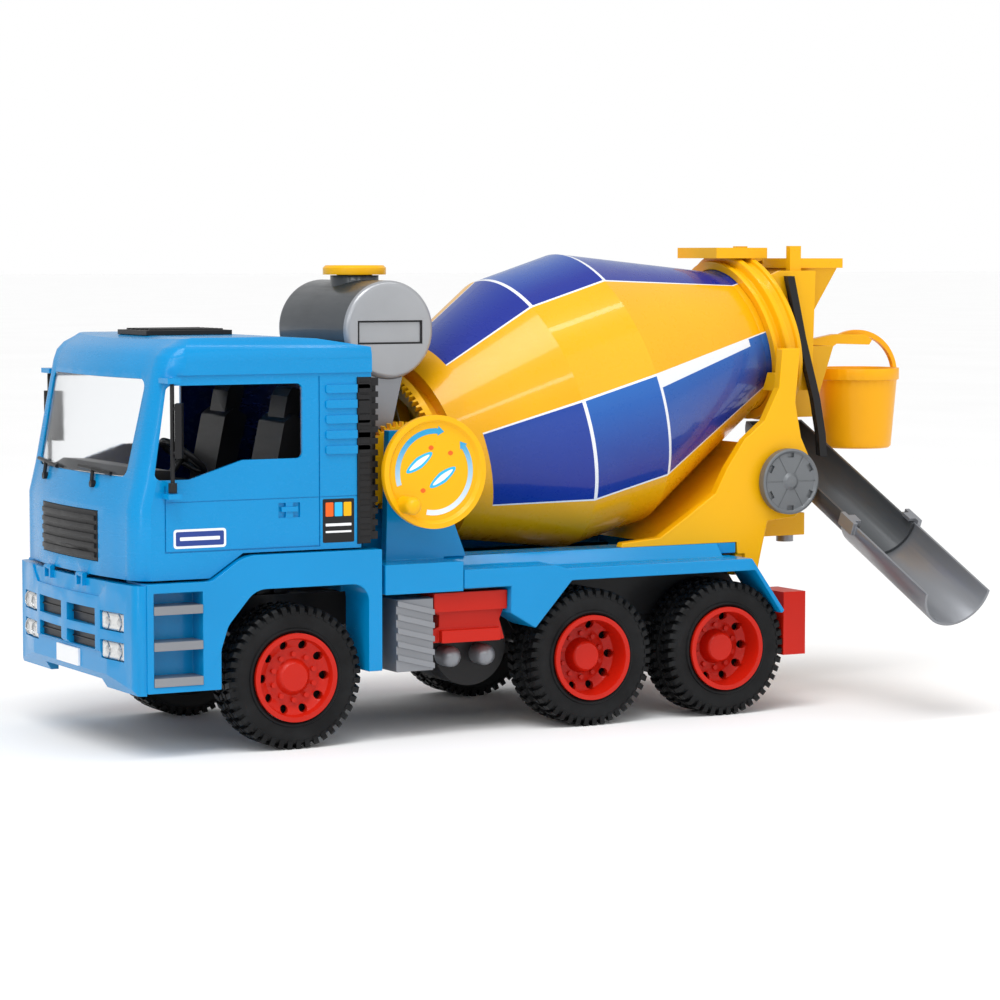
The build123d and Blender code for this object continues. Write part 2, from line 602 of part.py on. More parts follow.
def mixing_blades():
    """Two spirals of short paddles that climb the drum's inner wall."""
    hollow = turned([
        (0.0, CONE_START + DRUM_WALL), (FRONT_R - DRUM_WALL - 0.6, CONE_START + DRUM_WALL),
        (BELT_R - DRUM_WALL, BELT_START), (REAR_R - DRUM_WALL, BELT_END),
        (MOUTH_R - DRUM_WALL, LIP_START), (0.0, LIP_START),
    ])
    stations = [CONE_START, BELT_START, BELT_END, LIP_START]
    radii = [FRONT_R, BELT_R, REAR_R, MOUTH_R]
    paddles = []
    for step in range(14):
        station = -56.0 + 13.0 * step
        spans = zip(stations, stations[1:], radii, radii[1:])
        low, high, r_low, r_high = next(span for span in spans if station <= span[1])
        reach = r_low + (r_high - r_low) * (station - low) / (high - low)
        paddle = Pos(reach - 7.0, 0, station) * Rot(58, 0, 0) * Box(18, 22, 1.6)
        for start in (0.0, 180.0):
            paddles.append(drum_frame() * ((Rot(0, 0, start + 34.0 * step) * paddle) & hollow))
    return group(paddles)


# Rear frame, hopper and chute --------------------------------------------------------------------

def rear_frame():
    """Side plates over the rear deck with cross beams and the swivel bracket's arm."""
    outline = [
        (30.0, 93.0), (31.0, 95.5), (55.0, 97.5), (74.0, 109.5), (90.6, 120.5), (98.0, 134.0),
        (109.4, 149.8), (122.5, 160.0), (132.0, 178.0), (134.0, 200.0), (146.0, 200.0),
        (143.0, 170.0), (147.0, 150.0), (153.0, 138.0), (155.0, 126.0), (152.0, 113.0),
        (143.0, 105.5), (125.0, 104.0), (121.5, 90.0), (118.0, 75.0), (106.0, 75.0), (104.5, 93.0),
    ]
    plate = side_prism(outline, *PLATE_Y)
    body = joined(both_sides(plate))
    body += block(106.0, 118.0, -PLATE_Y[0], PLATE_Y[0], RAIL_Z[1], 104.0)
    body += block(117.0, 184.0, -9.0, 9.0, 90.0, 103.0)
    for side in (-1, 1):
        y_low, y_high = sorted((side * 50.0, side * PLATE_Y[0]))
        body += block(134.5, 145.5, y_low, y_high, 176.0, 186.0)
    body -= rod((KNOB_X, -70, KNOB_Z), (KNOB_X, 70, KNOB_Z), 5.0 + RUNNING_GAP)
    body -= rod((SWIVEL_X, 0, 80), (SWIVEL_X, 0, 110), 5.0 + RUNNING_GAP)
    for side in (-1, 1):
        y_low, y_high = sorted((side * 57.8, side * 61.0))
        body -= block(100.0, 110.0, y_low, y_high, 70.0, 86.2)
    return body


def mouth_collar():
    """Ridged ring that holds the drum's mouth, with a rain visor on top."""
    bore = MOUTH_R + 0.4
    ring = turned([
        (bore, 137.5), (47.0, 137.5), (47.0, 140.0), (45.5, 140.8), (45.5, 143.0), (49.5, 144.0),
        (49.5, 147.0), (46.5, 148.0), (46.5, 152.0), (48.0, 152.6), (48.0, COLLAR_END),
        (bore, COLLAR_END),
    ])
    body = drum_frame() * ring
    visor = block(115.0, 149.0, -21.0, 21.0, 250.0, 256.0)
    visor -= block(116.4, 147.6, -19.6, 19.6, 240.0, 254.6)
    riser = block(139.0, 147.0, -20.0, 20.0, 246.0, 255.0)
    riser -= drum_frame() * Pos(0, 0, 110) * Cylinder(46.0, 100)
    body = joined([body, visor, riser])
    for side in (-1, 1):
        y_low, y_high = sorted((side * 34.0, side * 50.0))
        lug = block(135.0, 145.0, y_low, y_high, 176.0, 186.0)
        body += lug - drum_frame() * Pos(0, 0, 140) * Cylinder(46.0, 60)
    return body


def tapered_box(low, high, wall):
    """Open funnel between a low and a high rectangle, each (x0, x1, half width, z)."""
    def skin(inset, reach):
        faces = []
        for (x0, x1, half, z), shift in ((low, -reach), (high, reach)):
            rect = Rectangle(x1 - x0 - 2 * inset, 2 * half - 2 * inset)
            faces.append(Pos((x0 + x1) / 2, 0, z + shift) * rect)
        return loft(faces)
    return skin(0.0, 0.0) - skin(wall, 0.01)


def hopper():
    """Open-topped hopper behind the collar, with a flared rear lip."""
    body = tapered_box((157.0, 178.0, 17.0, 211.0), (163.0, 193.0, 28.0, 246.0), 2.0)
    rim_band = block(161.5, 195.0, -29.5, 29.5, 244.5, 250.0) - block(165.0, 191.0, -26.0, 26.0, 240, 252)
    body += rim_band
    for side in (-1, 1):
        y_low, y_high = sorted((side * 26.0, side * 30.0))
        body += block(158.5, 166.0, y_low, y_high, 238.0, 257.0)
    return body


def discharge_funnel():
    """Funnel under the drum's mouth that narrows to the chute."""
    upper = tapered_box((167.5, 188.0, 10.0, 158.5), (155.5, 188.0, 31.0, 200.0), 2.0)
    face = [on_axis(COLLAR_END, lift) for lift in (34.0, 24.0, -24.0, -34.0)]
    top_high, top_low, foot_high, foot_low = [(point.X, point.Z) for point in face]
    stay = side_prism([foot_low, (172.0, foot_low[1]), (174.0, 243.0), (150.0, 243.0), top_high, top_low,
                       (163.0, 226.0), (163.0, 190.0), foot_high], 30.0, 33.0)
    return joined([upper] + both_sides(stay))


LADDER_ROUTE = [(149.0, 240.0), (157.5, 204.0), (167.0, 171.0), (171.0, 150.0), (172.0, 138.0)]
LADDER_Y = (-44.5, -35.5)


def ladder():
    """Curved access ladder with narrow rungs, set square to the truck's rear corner."""
    shift = 4.6
    pieces = []
    for index, y in enumerate(LADDER_Y):
        for (x0, z0), (x1, z1) in zip(LADDER_ROUTE, LADDER_ROUTE[1:]):
            dx = index * shift
            rail = side_prism([(x0 - 2.4 + dx, z0), (x0 + 2.4 + dx, z0), (x1 + 2.4 + dx, z1),
                               (x1 - 2.4 + dx, z1)], y - 0.9, y + 0.9)
            pieces.append(rail)
    body = joined(pieces)
    for z in range(144, 240, 8):
        (x0, z0), (x1, z1) = next(pair for pair in zip(LADDER_ROUTE, LADDER_ROUTE[1:])
                                  if pair[1][1] <= z <= pair[0][1])
        x = x0 + (x1 - x0) * (z - z0) / (z1 - z0)
        body += rod((x, LADDER_Y[0], z), (x + shift, LADDER_Y[1], z), 1.1)
    for x, z in ((169.6, 179.0), (154.2, 238.0)):
        body += rod((x, LADDER_Y[1], z), (x, -33.0, z), 1.6)
    return body


def side_knobs():
    """Grey six-notch knob at each end of the cross shaft."""
    profile = [(0.0, 0.0), (KNOB_R - 1.5, 0.0), (KNOB_R, 1.5), (KNOB_R, 6.0), (KNOB_R - 1.2, 6.6),
               (KNOB_R - 2.6, 5.4), (5.0, 5.4), (3.2, 6.9), (0.0, 7.2)]
    knob = turned(profile)
    for turn in range(6):
        knob -= Rot(0, 0, 60 * turn + 30) * Pos(KNOB_R - 3.6, 0, 5.6) * Box(2.6, 4.4, 3.0)
        knob -= Rot(0, 0, 60 * turn) * Pos(10.5, 0, 5.6) * Box(11.0, 0.8, 1.0)
    knobs = []
    for side in (-1, 1):
        knobs.append(Pos(KNOB_X, side * (PLATE_Y[1] + 0.5), KNOB_Z) * Rot(-90 * side, 0, 0) * knob)
    return group(knobs)


def knob_shaft():
    """Cross shaft that joins the two side knobs."""
    reach = PLATE_Y[1] + 0.5
    return rod((KNOB_X, -reach, KNOB_Z), (KNOB_X, reach, KNOB_Z), 5.0)


def chute_frame():
    """Plane across the trough: local X is the truck's X, local Y square up, local Z down the slope."""
    slope = radians(CHUTE_SLOPE)
    return Plane(origin=(SWIVEL_X, 0, CHUTE_TOP_Z), x_dir=(1, 0, 0), z_dir=(0, -cos(slope), -sin(slope)))


def trough(inner_r, wall, start, end):
    """Half-round trough along the chute's frame."""
    ring = Circle(inner_r + wall) - Circle(inner_r)
    half = ring & Pos(0, -60) * Rectangle(200, 120)
    return extrude(Pos(0, 0, start) * half, end - start, dir=(0, 0, 1))


def swivel_post():
    """Turntable post in the frame's arm, forked for the chute's tilt pin."""
    post = rod((SWIVEL_X, 0, 86.0), (SWIVEL_X, 0, 104.0), 5.0)
    post += rod((SWIVEL_X, 0, 103.4), (SWIVEL_X, 0, 107.0), 10.0)
    for x in (-9.0, 6.0):
        fork = block(SWIVEL_X + x, SWIVEL_X + x + 3.0, -6.0, 6.0, 105.0, TILT_PIN_Z)
        fork += rod((SWIVEL_X + x, 0, TILT_PIN_Z), (SWIVEL_X + x + 3.0, 0, TILT_PIN_Z), 6.0)
        post += fork
    post -= rod((SWIVEL_X - 12, 0, TILT_PIN_Z), (SWIVEL_X + 12, 0, TILT_PIN_Z), 2.0)
    return post


def tilt_pin():
    """Pin through the fork for the chute's lug."""
    return rod((SWIVEL_X - 9.0, 0, TILT_PIN_Z), (SWIVEL_X + 9.0, 0, TILT_PIN_Z), 2.0)


def chute_upper():
    """Fixed-length trough with its rounded head, lug and rolled edges."""
    start, end = UPPER_CHUTE
    body = trough(CHUTE_R, CHUTE_WALL, start, end)
    head = Circle(CHUTE_R + CHUTE_WALL) & Pos(0, -60) * Rectangle(200, 120)
    body += extrude(Pos(0, 0, start - CHUTE_WALL) * head, CHUTE_WALL, dir=(0, 0, 1))
    return (chute_frame() * body).fuse(chute_lug())


def chute_lug():
    """Lug under the trough's head, bored for the tilt pin."""
    lug = block(SWIVEL_X - 5.6, SWIVEL_X + 5.6, -5.5, 5.5, TILT_PIN_Z, CHUTE_TOP_Z - 10)
    lug += rod((SWIVEL_X - 5.6, 0, TILT_PIN_Z), (SWIVEL_X + 5.6, 0, TILT_PIN_Z), 5.5)
    lug -= chute_frame() * Cylinder(CHUTE_R + 0.6, 60)
    return lug - rod((SWIVEL_X - 9, 0, TILT_PIN_Z), (SWIVEL_X + 9, 0, TILT_PIN_Z), 2.0 + RUNNING_GAP)


def chute_lower():
    """Extension trough that wraps the upper one and slides along it on hooked clips."""
    inner = CHUTE_R + CHUTE_WALL + 0.3
    start, end = LOWER_CHUTE
    body = trough(inner, CHUTE_WALL, start, end)
    for side in (-1, 1):
        x_low, x_high = sorted((side * (inner + 0.8), side * (inner + 3.6)))
        body += block(x_low, x_high, -5.0, 2.4, start + 1, start + 15)
        x_low, x_high = sorted((side * (CHUTE_R - 1.5), side * (inner + 3.6)))
        body += block(x_low, x_high, 0.4, 2.4, start + 5, start + 12)
    return chute_frame() * body


# Bucket ------------------------------------------------------------------------------------------

def bucket():
    """Tapered bucket with a rolled rim and two handle pins."""
    low, high = BUCKET_Z
    r_low, r_high = BUCKET_R
    profile = [
        (0.0, low), (r_low - 1.2, low), (r_low, low + 1.2), (r_high - 0.4, high - 7.0),
        (r_high + 0.9, high - 6.6), (r_high + 0.9, high), (r_high - 0.8, high),
        (r_high - 2.0, high - 7.0), (r_low - 1.6, low + 1.8), (0.0, low + 1.8),
    ]
    body = Pos(BUCKET_X, 0, 0) * turned(profile)
    pin_z = high - 4.0
    for side in (-1, 1):
        start = BUCKET_X + side * (r_high - 0.6)
        body += rod((start, 0, pin_z), (start + side * 3.6, 0, pin_z), 1.5)
    return body


def bucket_bail():
    """Arched handle that hangs on the hook's peg, eyed for the bucket's pins."""
    pin_z = BUCKET_Z[1] - 4.0
    eye_x = BUCKET_R[1] + 2.5
    crown = PEG_Z + 3.6
    height = crown - pin_z
    outer = Plane.XZ * (Pos(BUCKET_X, pin_z) * Ellipse(eye_x + 1.6, height + 1.6))
    inner = Plane.XZ * (Pos(BUCKET_X, pin_z) * Ellipse(eye_x - 0.9, height - 1.6))
    arch = extrude(outer - inner, 1.5, both=True)
    arch &= block(BUCKET_X - 40, BUCKET_X + 40, -5, 5, pin_z, crown + 10)
    for side in (-1, 1):
        x = BUCKET_X + side * eye_x
        arch += rod((x - side * 0.9, 0, pin_z), (x + side * 1.2, 0, pin_z), 3.6)
        arch -= rod((x - 6, 0, pin_z), (x + 6, 0, pin_z), 1.5 + RUNNING_GAP)
    return arch


def bucket_hanger():
    """Arched arm from the funnel out to a peg that carries the bucket."""
    peg_y = 4.0
    outline = [
        (188.0, 190.0), (188.0, 203.0), (205.0, PEG_Z + 3.0), (226.0, PEG_Z + 2.6),
        (231.0, PEG_Z - 0.5), (229.0, PEG_Z - 3.4), (206.0, PEG_Z - 2.6), (194.0, 193.0),
    ]
    arm = side_prism(outline, -8.0, -3.2)
    arm += rod((BUCKET_X, -4.0, PEG_Z), (BUCKET_X, peg_y, PEG_Z), 1.6)
    return arm


# Cab ---------------------------------------------------------------------------------------------

def bowed_front(inset):
    """Volume behind the cab's bowed front, stacked from slanted prisms."""
    stages = []
    for (x_low, z_low), (x_high, z_high) in zip(CAB_FRONT, CAB_FRONT[1:]):
        plan = nose_plan(x_low + inset, -90.0, ROOF_Y - inset, CAB_BOW, CAB_CORNER)
        along = Vector(x_high - x_low, 0, z_high - z_low)
        stages.append(extrude(Pos(0, 0, z_low) * plan, along.length, dir=along.normalized()))
    return joined(stages)


def front_point(y, z, ahead=0.0):
    """Point on the cab's bowed front at a given side and height, moved ahead of it."""
    shoulder_y = ROOF_Y - 1.2 * CAB_CORNER
    radius = (shoulder_y ** 2 + CAB_BOW ** 2) / (2 * CAB_BOW)
    bow = radius - sqrt(radius ** 2 - y ** 2)
    pairs = zip(CAB_FRONT, CAB_FRONT[1:])
    (x_low, z_low), (x_high, z_high) = next(pair for pair in pairs if pair[1][1] >= z)
    nose = x_low + (x_high - x_low) * (z - z_low) / (z_high - z_low)
    return Vector(nose + bow - ahead, y, z)


def cab_volume(inset):
    """Solid cab form, drawn in from the outer faces by inset, with a slightly wider roof cap."""
    side = offset(Polygon(*CAB_OUTLINE), -inset) if inset else Sketch() + Polygon(*CAB_OUTLINE)
    body = extrude(Pos(0, -100, 0) * (Plane.XZ * side), 200, dir=(0, 1, 0))
    body &= bowed_front(inset)
    half, roof = CAB_Y - inset, ROOF_Y - inset
    top = 212.0 - inset
    section = Polygon((-half, 80.0), (half, 80.0), (half, ROOF_EDGE_Z), (roof, ROOF_EDGE_Z),
                      (roof, top), (-roof, top), (-roof, ROOF_EDGE_Z), (-half, ROOF_EDGE_Z))
    section = fillet(section.vertices().group_by(Axis.Y)[-1], 13.0)
    return body & extrude(Pos(-290.0, 0, 0) * (Plane.YZ * section), 170.0, dir=(1, 0, 0))


def screen_opening(margin):
    """Volume that cuts the windscreen opening, grown by margin."""
    low, high = SCREEN_Z[0] - margin, SCREEN_Z[1] + margin
    foot, top = SCREEN_Y[0] + margin, SCREEN_Y[1] + margin
    outline = Polygon((-foot, low), (foot, low), (top, high), (-top, high))
    outline = fillet(outline.vertices(), 5.0 + margin)
    return extrude(Pos(-300, 0, 0) * (Plane.YZ * outline), 58.0, dir=(1, 0, 0))


def door_lines():
    """Grooves round each door, the pillar ribs' recess and the handle's pocket, on one side."""
    y_out, y_in = -CAB_Y - 2.0, -CAB_Y + 0.7
    rear_gap = block(-160.9, -160.2, y_out, y_in, 103.5, 190.5)
    sill_gap = block(-245.0, -160.2, y_out, y_in, 103.5, 104.2)
    front_gap = block(-245.7, -245.0, y_out, y_in, 103.5, 137.0)
    waist = block(-246.0, -131.0, y_out, -CAB_Y + 0.4, 128.6, 129.1)
    handle = block(-183.5, -171.5, y_out, -CAB_Y + 1.2, 119.0, 126.5)
    return [rear_gap, sill_gap, front_gap, waist, handle]


def pillar_ribs():
    """Five level ribs on the rear pillar and the door handle's bar, on one side."""
    ribs = []
    for step in range(5):
        z = 150.5 + 7.8 * step
        ribs.append(side_prism([(-157.0, z), (-132.0, z), (-132.0, z + 4.2), (-157.0, z + 4.2)],
                               -CAB_Y - 1.0, -CAB_Y + 1.0, 1.2))
    ribs.append(block(-182.0, -173.0, -CAB_Y - 0.9, -CAB_Y + 0.9, 122.0, 124.5))
    ribs.append(block(-179.5, -175.5, -CAB_Y - 0.2, -CAB_Y + 1.6, 119.0, 126.5))
    return ribs


def cab_shell():
    """Hollow cab with its window openings, floor, grille recess, door lines and pillar ribs."""
    body = cab_volume(0.0) - cab_volume(CAB_WALL)
    body += cab_volume(CAB_WALL - 0.1) & block(-290, -130, -90, 90, 112.0, 114.5)
    body -= block(-252.0, -141.0, -77.0, 77.0, 80.0, 112.0)
    body -= screen_opening(0.0)
    for side in (-1, 1):
        y_low, y_high = sorted((side * 70.0, side * 90.0))
        body -= side_prism(SIDE_WINDOW, y_low, y_high, 3.0)
    body -= block(-290, -250.0, -GRILLE_Y, GRILLE_Y, *GRILLE_Z) - bowed_front(GRILLE_DEPTH)
    for groove in door_lines():
        for side_groove in both_sides(groove):
            body -= side_groove
    for rib in pillar_ribs():
        body += both_sides(rib)
    return joined([body] + mirror_brackets() + both_sides(hinge_knuckle()))


def windscreen():
    """Clear bowed pane that fills the opening."""
    pane = cab_volume(0.5) - cab_volume(2.1)
    return pane & screen_opening(-0.15)


def front_grille():
    """Black radiator panel set in the cab's nose, with five level bars."""
    half = GRILLE_Y - 0.3
    low, high = GRILLE_Z[0] + 0.3, GRILLE_Z[1] - 0.3
    panel = bowed_front(-0.2) - bowed_front(GRILLE_DEPTH)
    panel &= block(-290, -250, -half, half, low, high)
    bars = bowed_front(-1.2) - bowed_front(0.5)
    for step in range(5):
        z = low + 1.6 + 4.7 * step
        panel += bars & block(-290, -250, 1.6 - half, half - 1.6, z, z + 2.6)
    return panel


def roof_hatch():
    """Ribbed black hatch on the cab roof."""
    hatch = block(-230.0, -182.0, -20.0, 20.0, 210.5, 213.0)
    for y in range(-15, 16, 6):
        hatch += block(-226.5, -185.5, y - 1.2, y + 1.2, 213.0, 213.8)
    return hatch


def cab_back_panel():
    """Black ribbed panel across the cab's back."""
    outline = [(-136.6, 106.0), (-127.0, 106.0), (-126.5, 189.0), (-130.8, 189.0)]
    panel = side_prism(outline, -79.0, 79.0)
    for z in range(110, 188, 6):
        for side in (-1, 1):
            y_low, y_high = sorted((side * 76.0, side * 80.0))
            panel -= block(-130.0, -120.0, y_low, y_high, z, z + 3.0)
    return panel


def seats():
    """Driver's and passenger's seats with their headrests."""
    chairs = []
    back_outline = [(-176.0, 128.0), (-165.0, 128.0), (-155.0, 166.0), (-163.0, 170.0), (-168.0, 166.0)]
    head_outline = [(-166.0, 166.0), (-158.0, 166.0), (-153.5, 181.0), (-160.5, 184.0), (-163.5, 179.0)]
    seat_outline = [(-206.0, 114.5), (-168.0, 114.5), (-168.0, 130.0), (-198.0, 133.0), (-207.0, 128.0)]
    for y in (-38.0, 38.0):
        seat = side_prism(seat_outline, y - 17, y + 17, 2.0)
        back = side_prism(back_outline, y - 16, y + 16, 2.0)
        head = side_prism(head_outline, y - 10, y + 10, 1.5)
        chairs.append(seat + back + head)
    return group(chairs)


def dashboard():
    """Dashboard with its shelf under the windscreen."""
    outline = [
        (-256.0, 114.5), (-236.0, 114.5), (-228.0, 132.0), (-231.0, 143.0), (-246.0, 144.0),
        (-253.0, 140.0),
    ]
    return side_prism(outline, -58.0, 58.0)


def steering_wheel():
    """Steering wheel with three spokes and its column."""
    frame = Plane(origin=(-217.0, -36.0, 149.0), x_dir=(0, 1, 0), z_dir=(0.62, 0, 0.78))
    ring = frame * Torus(13.0, 1.6)
    hub = frame * Cylinder(3.6, 3.0)
    spokes = [frame * Rot(0, 0, angle) * Pos(6.5, 0, 0) * Box(13.0, 2.6, 1.6) for angle in (0, 120, 240)]
    column = rod(frame.origin, frame.origin - frame.z_dir * 19.5, 1.8)
    return joined([ring, hub, column] + spokes)


def wipers():
    """Two wipers parked along the windscreen's foot."""
    arms = []
    for y in (-30.0, 40.0):
        pivot = rod(front_point(y, 136.0, -1.0), front_point(y, 136.0, 2.2), 1.8)
        arm = rod(front_point(y, 136.0, 1.5), front_point(y + 2, 143.5, 1.5), 1.0)
        blade = rod(front_point(y - 18, 142.0, 1.1), front_point(y + 2, 143.5, 1.5), 1.0)
        blade += rod(front_point(y + 2, 143.5, 1.5), front_point(y + 20, 144.0, 1.1), 1.0)
        arms.append(pivot + arm + blade)
    return group(arms)


def cab_mirror(side):
    """Folding mirror: pivot boss on the door pillar, upright rod and housing."""
    x, y = MIRROR_X, -MIRROR_Y
    body = rod((x, y, 134.0), (x, y, 188.0), 1.1)
    right, sight = Vector(0.879, -0.477, 0), Vector(0.477, 0.879, 0)
    centre = Vector(x, y, 165.0) + right * 3.4
    frame = Plane(origin=centre, x_dir=sight, z_dir=(0, 0, 1))
    body += frame * Box(11.0, 3.4, 27.0)
    for z in (154.0, 176.0):
        body += rod((x, y, z), centre + Vector(0, 0, z - 165.0), 1.0)
    body += rod((x, y, 134.0), (x, y, 139.0), 2.2)
    return body if side < 0 else mirror(body, about=Plane.XZ)


def mirror_brackets():
    """Brackets on the cab's sides in which the mirror rods turn."""
    brackets = []
    for z in (131.0, 188.4):
        brackets += both_sides(block(MIRROR_X - 3.5, MIRROR_X + 3.5, -MIRROR_Y - 3.0, -76.6, z, z + 2.6))
    return brackets


def all_parts():
    """Every node of the truck, by name, in the building frame."""
    parts = {
        "chassis_frame": chassis_frame(), "engine_block": engine_block(),
        "front_bumper": front_bumper(), "headlights": headlights(), "number_plate": number_plate(),
        "fender_steps": fender_steps(),
        "step_treads": step_treads(), "mufflers": ribbed_muffler(), "side_boxes": side_box(),
        "fuel_tanks": fuel_tank(), "air_tanks": air_tanks(), "rear_deck": rear_deck(),
        "rear_bumper": rear_bumper(), "pedestal": pedestal(), "tank_cradle": tank_cradle(),
        "tank_shell": tank_shell(), "tank_cap": tank_cap(), "hand_wheel": hand_wheel(),
        "crank_shaft": crank_shaft(), "pinion": pinion(), "crown_gear": crown_gear(),
        "drum_front": drum_front(), "drum_spindle": drum_spindle(), "drum_belt": drum_belt(),
        "drum_rear": drum_rear(), "mixing_blades": mixing_blades(), "rear_frame": rear_frame(),
        "mouth_collar": mouth_collar(), "hopper": hopper(), "discharge_funnel": discharge_funnel(),
        "ladder": ladder(), "side_knobs": side_knobs(),
        "knob_shaft": knob_shaft(), "swivel_post": swivel_post(), "tilt_pin": tilt_pin(),
        "chute_upper": chute_upper(), "chute_lower": chute_lower(),
        "bucket": bucket(), "bucket_bail": bucket_bail(), "bucket_hanger": bucket_hanger(),
        "cab_shell": cab_shell(), "windscreen": windscreen(), "front_grille": front_grille(),
        "roof_hatch": roof_hatch(), "cab_back_panel": cab_back_panel(), "seats": seats(),
        "dashboard": dashboard(), "steering_wheel": steering_wheel(), "wipers": wipers(),
        "mirror_left": cab_mirror(-1), "mirror_right": cab_mirror(1),
    }
    parts.update(wheels("front", AXLE_XS["front"], FRONT_TYRE_WIDTH, [12.0], 5.0, 3.5))
    for name in ("middle", "rear"):
        parts.update(wheels(name, AXLE_XS[name], REAR_TYRE_WIDTH, [14.5], 14.0, 8.0))
    return parts


PARTS = all_parts()
BOXES = [shape.bounding_box() for shape in PARTS.values()]
MIDDLE_X = (min(b.min.X for b in BOXES) + max(b.max.X for b in BOXES)) / 2
MIDDLE_Y = (min(b.min.Y for b in BOXES) + max(b.max.Y for b in BOXES)) / 2
ORIGIN_SHIFT = Pos(-MIDDLE_X, -MIDDLE_Y, 0)

os.makedirs("parts", exist_ok=True)
for node, shape in PARTS.items():
    export_step(ORIGIN_SHIFT * shape, f"parts/{node}.step")
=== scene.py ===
import json
import math

import bmesh
import bpy
from mathutils import Matrix, Vector


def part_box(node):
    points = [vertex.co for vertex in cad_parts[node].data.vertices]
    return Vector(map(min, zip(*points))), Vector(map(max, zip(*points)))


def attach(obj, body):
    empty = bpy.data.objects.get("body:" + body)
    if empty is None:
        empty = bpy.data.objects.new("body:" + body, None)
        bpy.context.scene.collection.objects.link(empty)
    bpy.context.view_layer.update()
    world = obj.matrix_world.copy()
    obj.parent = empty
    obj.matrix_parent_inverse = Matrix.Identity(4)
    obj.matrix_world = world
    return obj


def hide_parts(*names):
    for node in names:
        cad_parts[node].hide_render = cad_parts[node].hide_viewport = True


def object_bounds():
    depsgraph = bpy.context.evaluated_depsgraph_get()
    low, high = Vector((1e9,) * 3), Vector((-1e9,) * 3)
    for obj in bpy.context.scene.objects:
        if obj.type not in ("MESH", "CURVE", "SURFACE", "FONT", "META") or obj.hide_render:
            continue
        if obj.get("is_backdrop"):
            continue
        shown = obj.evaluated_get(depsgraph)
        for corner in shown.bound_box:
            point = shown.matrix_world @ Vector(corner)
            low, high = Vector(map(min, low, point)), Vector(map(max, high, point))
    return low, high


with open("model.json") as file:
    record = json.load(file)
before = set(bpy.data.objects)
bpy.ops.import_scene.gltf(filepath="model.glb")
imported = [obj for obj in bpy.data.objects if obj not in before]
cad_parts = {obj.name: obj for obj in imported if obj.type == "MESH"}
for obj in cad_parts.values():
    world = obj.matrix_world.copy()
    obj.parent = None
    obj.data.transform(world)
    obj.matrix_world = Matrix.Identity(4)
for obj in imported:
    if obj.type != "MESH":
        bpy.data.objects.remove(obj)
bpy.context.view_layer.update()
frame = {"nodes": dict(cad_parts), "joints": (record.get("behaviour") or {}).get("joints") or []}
NODES = frame["nodes"]
JOINTS = {joint["name"]: joint for joint in frame["joints"]}

# Truck stations in millimetres: X = 0 at the middle axle, Y = 0 in the middle plane, Z = 0 on the ground.
low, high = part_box("middle_tyres")
ORIGIN = Vector(((low.x + high.x) / 2, (low.y + high.y) / 2, 0.0))


def P(x, y, z):
    """A point in the row frame from truck stations in millimetres."""
    return ORIGIN + Vector((x, y, z)) / 1000.0


# Stations and sizes in millimetres, as in part.py.
CAB_NOSE_X, CAB_BOW, CAB_CORNER, CAB_SIDE_Y = -267.0, 5.5, 12.5, 80.0   # nose, its bow, corner radius, half width
CAB_WAIST_Z, CAB_LEAN = 126.0, 0.2       # the windscreen leans back by this slope above the waist
PILLAR_Y, PILLAR_SLOPE = 50.0, 0.32      # the painted navy shade inside starts further back towards the front pillars
# the last value is the top of the painted shade on the cab's inner faces
CAB_WALL, CAB_BACK_X, CAB_SHADE_TOP_Z = 1.6, -132.5, 196.5
VENT_FROM_X, VENT_LOW_Z, VENT_HIGH_Z = -139.3, 103.9, 189.6
VENT_PITCH, VENT_COUNT = 6.3, 13
TANK_X, TANK_Z = -101.5, 212.5
TANK_CAP_FROM = 40.0                     # the light end caps start at this distance from the middle plane
BUMPER_NOSE_X, BUMPER_BOW, BUMPER_HALF = -269.0, 6.0, 83.0
LAMP_YS, LAMP_ZS = (51.5, 64.0), (53.6, 68.3)
AXLES = {                                # station, tyre width, depth of the rim's face
    "front": (-174.5, 24.0, 5.0), "middle": (0.0, 29.0, 14.0), "rear": (85.0, 29.0, 14.0)}
WHEEL_Z, TYRE_OUT_Y = 37.0, 81.0
CARCASS_R, TREAD_R, LUGS = 34.9, 36.95, 44
HAND_WHEEL_X, HAND_WHEEL_Z, PRINT_Y = -97.7, 140.0, -85.7

# Colours, linear.
BODY_BLUE = (0.0, 0.245, 0.56)
# painted shade: the navy laid on the inner faces of the cab's shell
CAB_INSIDE_SHADE = (0.003, 0.012, 0.07)
VENT_BLACK = (0.009, 0.009, 0.010)
# The first panel colour is the light end of each band's blue: partly a printed tone, partly a painted reflection.
PANEL_LIGHT_PRINT_AND_REFLECTION, PANEL_DEEP, PANEL_FRONT = (0.010, 0.125, 0.45), (0.006, 0.022, 0.26), (0.006, 0.022, 0.27)
PANEL_EDGE = (0.80, 0.82, 0.86)

# Printed bands of the drum: degrees round the axis and millimetres along it.
PANEL_PITCH, PANEL_TURN, PANEL_SPAN, PANEL_LINE = 90.0, 8.7, 45.0, 0.9
PANEL_FROM, PANEL_TO, PANEL_SEAMS, SEAM_HALF = -56.8, 138.5, (-4.5, 42.8), 1.0
WHITE_STRIP_SPAN, WHITE_STRIP_FROM, WHITE_STRIP_TO = 6.0, 42.0, 123.0

SURROUND = 0.66                          # how bright the white surround is as a light


# ------------------------------------------------------------------ materials

def new_material(name):
    material = bpy.data.materials.new(name)
    material.use_nodes = True
    tree = material.node_tree
    return material, tree, tree.nodes["Principled BSDF"]


def add(tree, kind, **values):
    """A node with its named inputs or properties set."""
    node = tree.nodes.new(kind)
    for key, value in values.items():
        if hasattr(node, key) and key not in node.inputs:
            setattr(node, key, value)
        else:
            node.inputs[key].default_value = value
    return node


def join(tree, source, target, out=0, into=0):
    tree.links.new(source.outputs[out], target.inputs[into])


